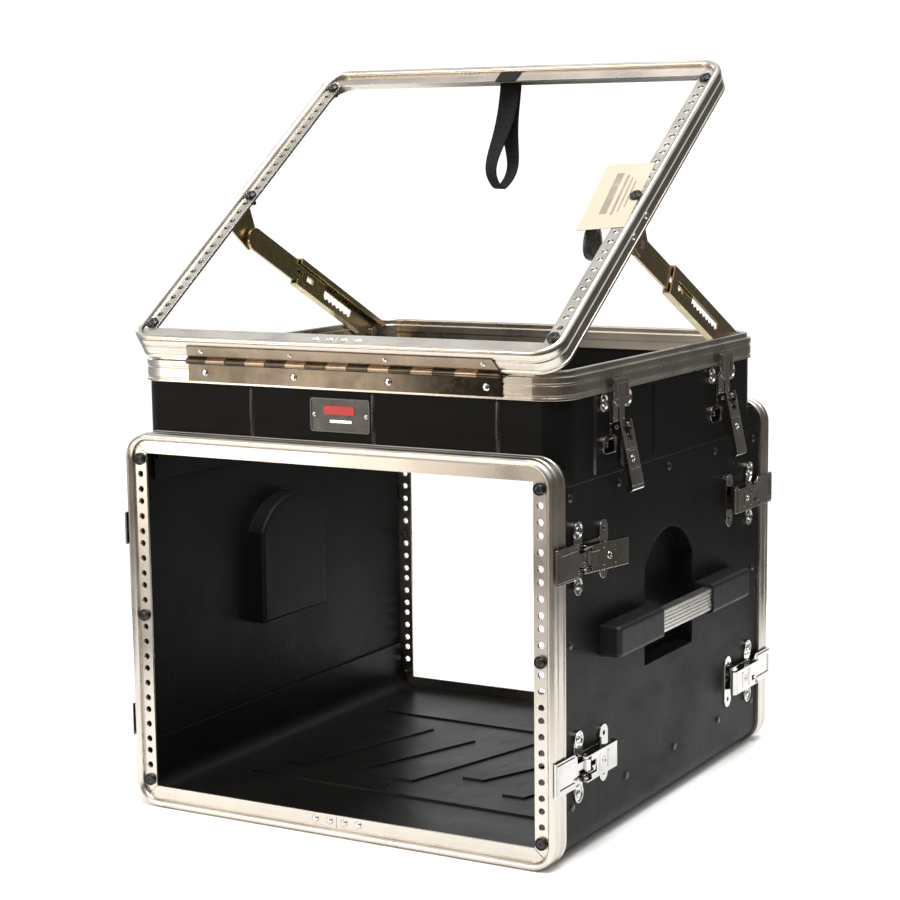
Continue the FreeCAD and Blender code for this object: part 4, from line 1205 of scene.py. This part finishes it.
@dataclass
class Studio:
    """Pale floor, white surroundings behind the case and dimmer, warmer ones before it."""

    floor_radius: float = 0.98
    floor_spokes: int = 96
    lobes: tuple[Lobe, ...] = (
        Lobe((0, 0, 1), -1.1, -1.0, (0.16, 0.155, 0.15)),
        Lobe((0.2, -1, 0.1), 0.35, 0.9, (0.20, 0.145, 0.10)),
        Lobe((-1, -0.25, 0.2), 0.5, 0.95, (0.55, 0.56, 0.60)),
        Lobe((1, 0.35, 0.0), 0.45, 0.85, (0.10, 0.088, 0.075)),
        Lobe((0, 0, 1), 0.30, 0.62, (0.92, 0.93, 0.93)),
        Lobe((-0.4959, 0.8683, 0.0), 0.80, 0.90, (1.12, 1.12, 1.12)))
    panels: tuple[Panel, ...] = (
        Panel("key_over", (0.6, -0.6, 3.0), (0.0, 0.1, 0.0), (1.8, 1.8), 135, (1.0, 0.99, 0.97)),
        Panel("warm_front", (-1.45, -2.6, 1.75), (0.0, -0.2, 0.3), (1.5, 0.9), 36, (1.0, 0.80, 0.60)),
        Panel("bay_fill", (-0.95, -1.5, 0.28), (0.0, 0.2, 0.15), (0.5, 0.4), 4, (1.0, 0.90, 0.78)),
        Panel("cool_left", (-2.6, 0.6, 1.6), (0.0, 0.0, 0.4), (0.8, 1.4), 16, (0.92, 0.96, 1.0)))

    def room(self) -> bpy.types.World:
        """Surroundings whose brightness depends only on the direction.

        Returns:
            The world.
        """
        world = bpy.data.worlds.new("pale_room")
        world.use_nodes = True
        nodes, links = world.node_tree.nodes, world.node_tree.links
        direction = nodes.new("ShaderNodeTexCoord").outputs["Generated"]

        def share(lobe: Lobe) -> bpy.types.NodeSocket:
            """How much of a region shows in each direction.

            Args:
                lobe: the region.

            Returns:
                A share from 0 to 1, by the cosine of the angle from its middle.
            """
            dot = nodes.new("ShaderNodeVectorMath")
            dot.operation = "DOT_PRODUCT"
            links.new(direction, dot.inputs[0])
            dot.inputs[1].default_value = Vector(lobe.toward).normalized()
            span = nodes.new("ShaderNodeMapRange")
            span.interpolation_type = "SMOOTHSTEP"
            span.inputs[1].default_value = lobe.starts
            span.inputs[2].default_value = lobe.full
            links.new(dot.outputs["Value"], span.inputs[0])
            return span.outputs[0]

        colour = None
        for lobe in self.lobes:
            mix = nodes.new("ShaderNodeMix")
            mix.data_type = "RGBA"
            links.new(share(lobe), mix.inputs["Factor"])
            if colour is not None:
                links.new(colour, mix.inputs[6])
            mix.inputs[7].default_value = (*lobe.colour, 1.0)
            colour = mix.outputs[2]
        links.new(colour, nodes["Background"].inputs["Color"])
        return world

    def build(self, palette: Palette) -> None:
        """Sets the floor, the surroundings and the lights.

        Args:
            palette: the finishes.
        """
        def build(work: bmesh.types.BMesh) -> None:
            """Makes the round floor.

            Args:
                work: the bmesh to fill.
            """
            angles = (2 * math.pi * i / self.floor_spokes for i in range(self.floor_spokes))
            work.faces.new([work.verts.new((self.floor_radius * math.cos(angle),
                                            self.floor_radius * math.sin(angle), 0)) for angle in angles])

        floor = mesh_object("studio_floor", build, smooth=False)
        palette.dress(floor, StudioPaper("studio_paper"))
        scene = bpy.context.scene
        scene.world = self.room()
        scene.view_settings.view_transform = "Standard"
        for panel in self.panels:
            panel.hang()


@dataclass
class ViewCamera:
    """Camera at the case's three-quarter view."""

    place: Point = (1.14419, -2.03667, 0.68844)
    forward: Point = (-0.48971, 0.85752, -0.15763)
    roll: float = math.radians(-0.69)
    lens: float = 86.61
    shift: tuple[float, float] = (0.00198, 0.0444)

    def build(self) -> None:
        """Makes the camera the scene's own."""
        data = bpy.data.cameras.new("view")
        data.sensor_width = 36.0
        data.lens = self.lens
        data.shift_x, data.shift_y = self.shift
        data.clip_end = 60.0
        camera = bpy.data.objects.new("view", data)
        aim = Vector(self.forward).to_track_quat("-Z", "Y").to_matrix().to_4x4()
        camera.matrix_world = Matrix.Translation(self.place) @ aim @ Matrix.Rotation(self.roll, 4, "Z")
        bpy.context.scene.collection.objects.link(camera)
        bpy.context.scene.camera = camera


def main() -> None:
    """Builds everything in order and reports it."""
    logging.basicConfig(level=logging.INFO, format="%(name)s: %(message)s")
    palette = Palette()
    top = TopFrame(FRAME["joints"])
    Studio().build(palette)
    ViewCamera().build()
    pieces: list[bpy.types.Object] = []
    pieces += MouldedBody().build(palette)
    Rims().build(palette, top)
    Fastenings().build(palette)
    Ironmongery().build(palette)
    pieces += Badge().build(palette)
    pieces += HeaderCard().build(palette, top)
    pieces += PullStrap().build(palette, top)
    for piece in pieces:
        LOG.info("built %s with %d faces", piece.name, len(piece.data.polygons))


if __name__ == "__main__":
    main()
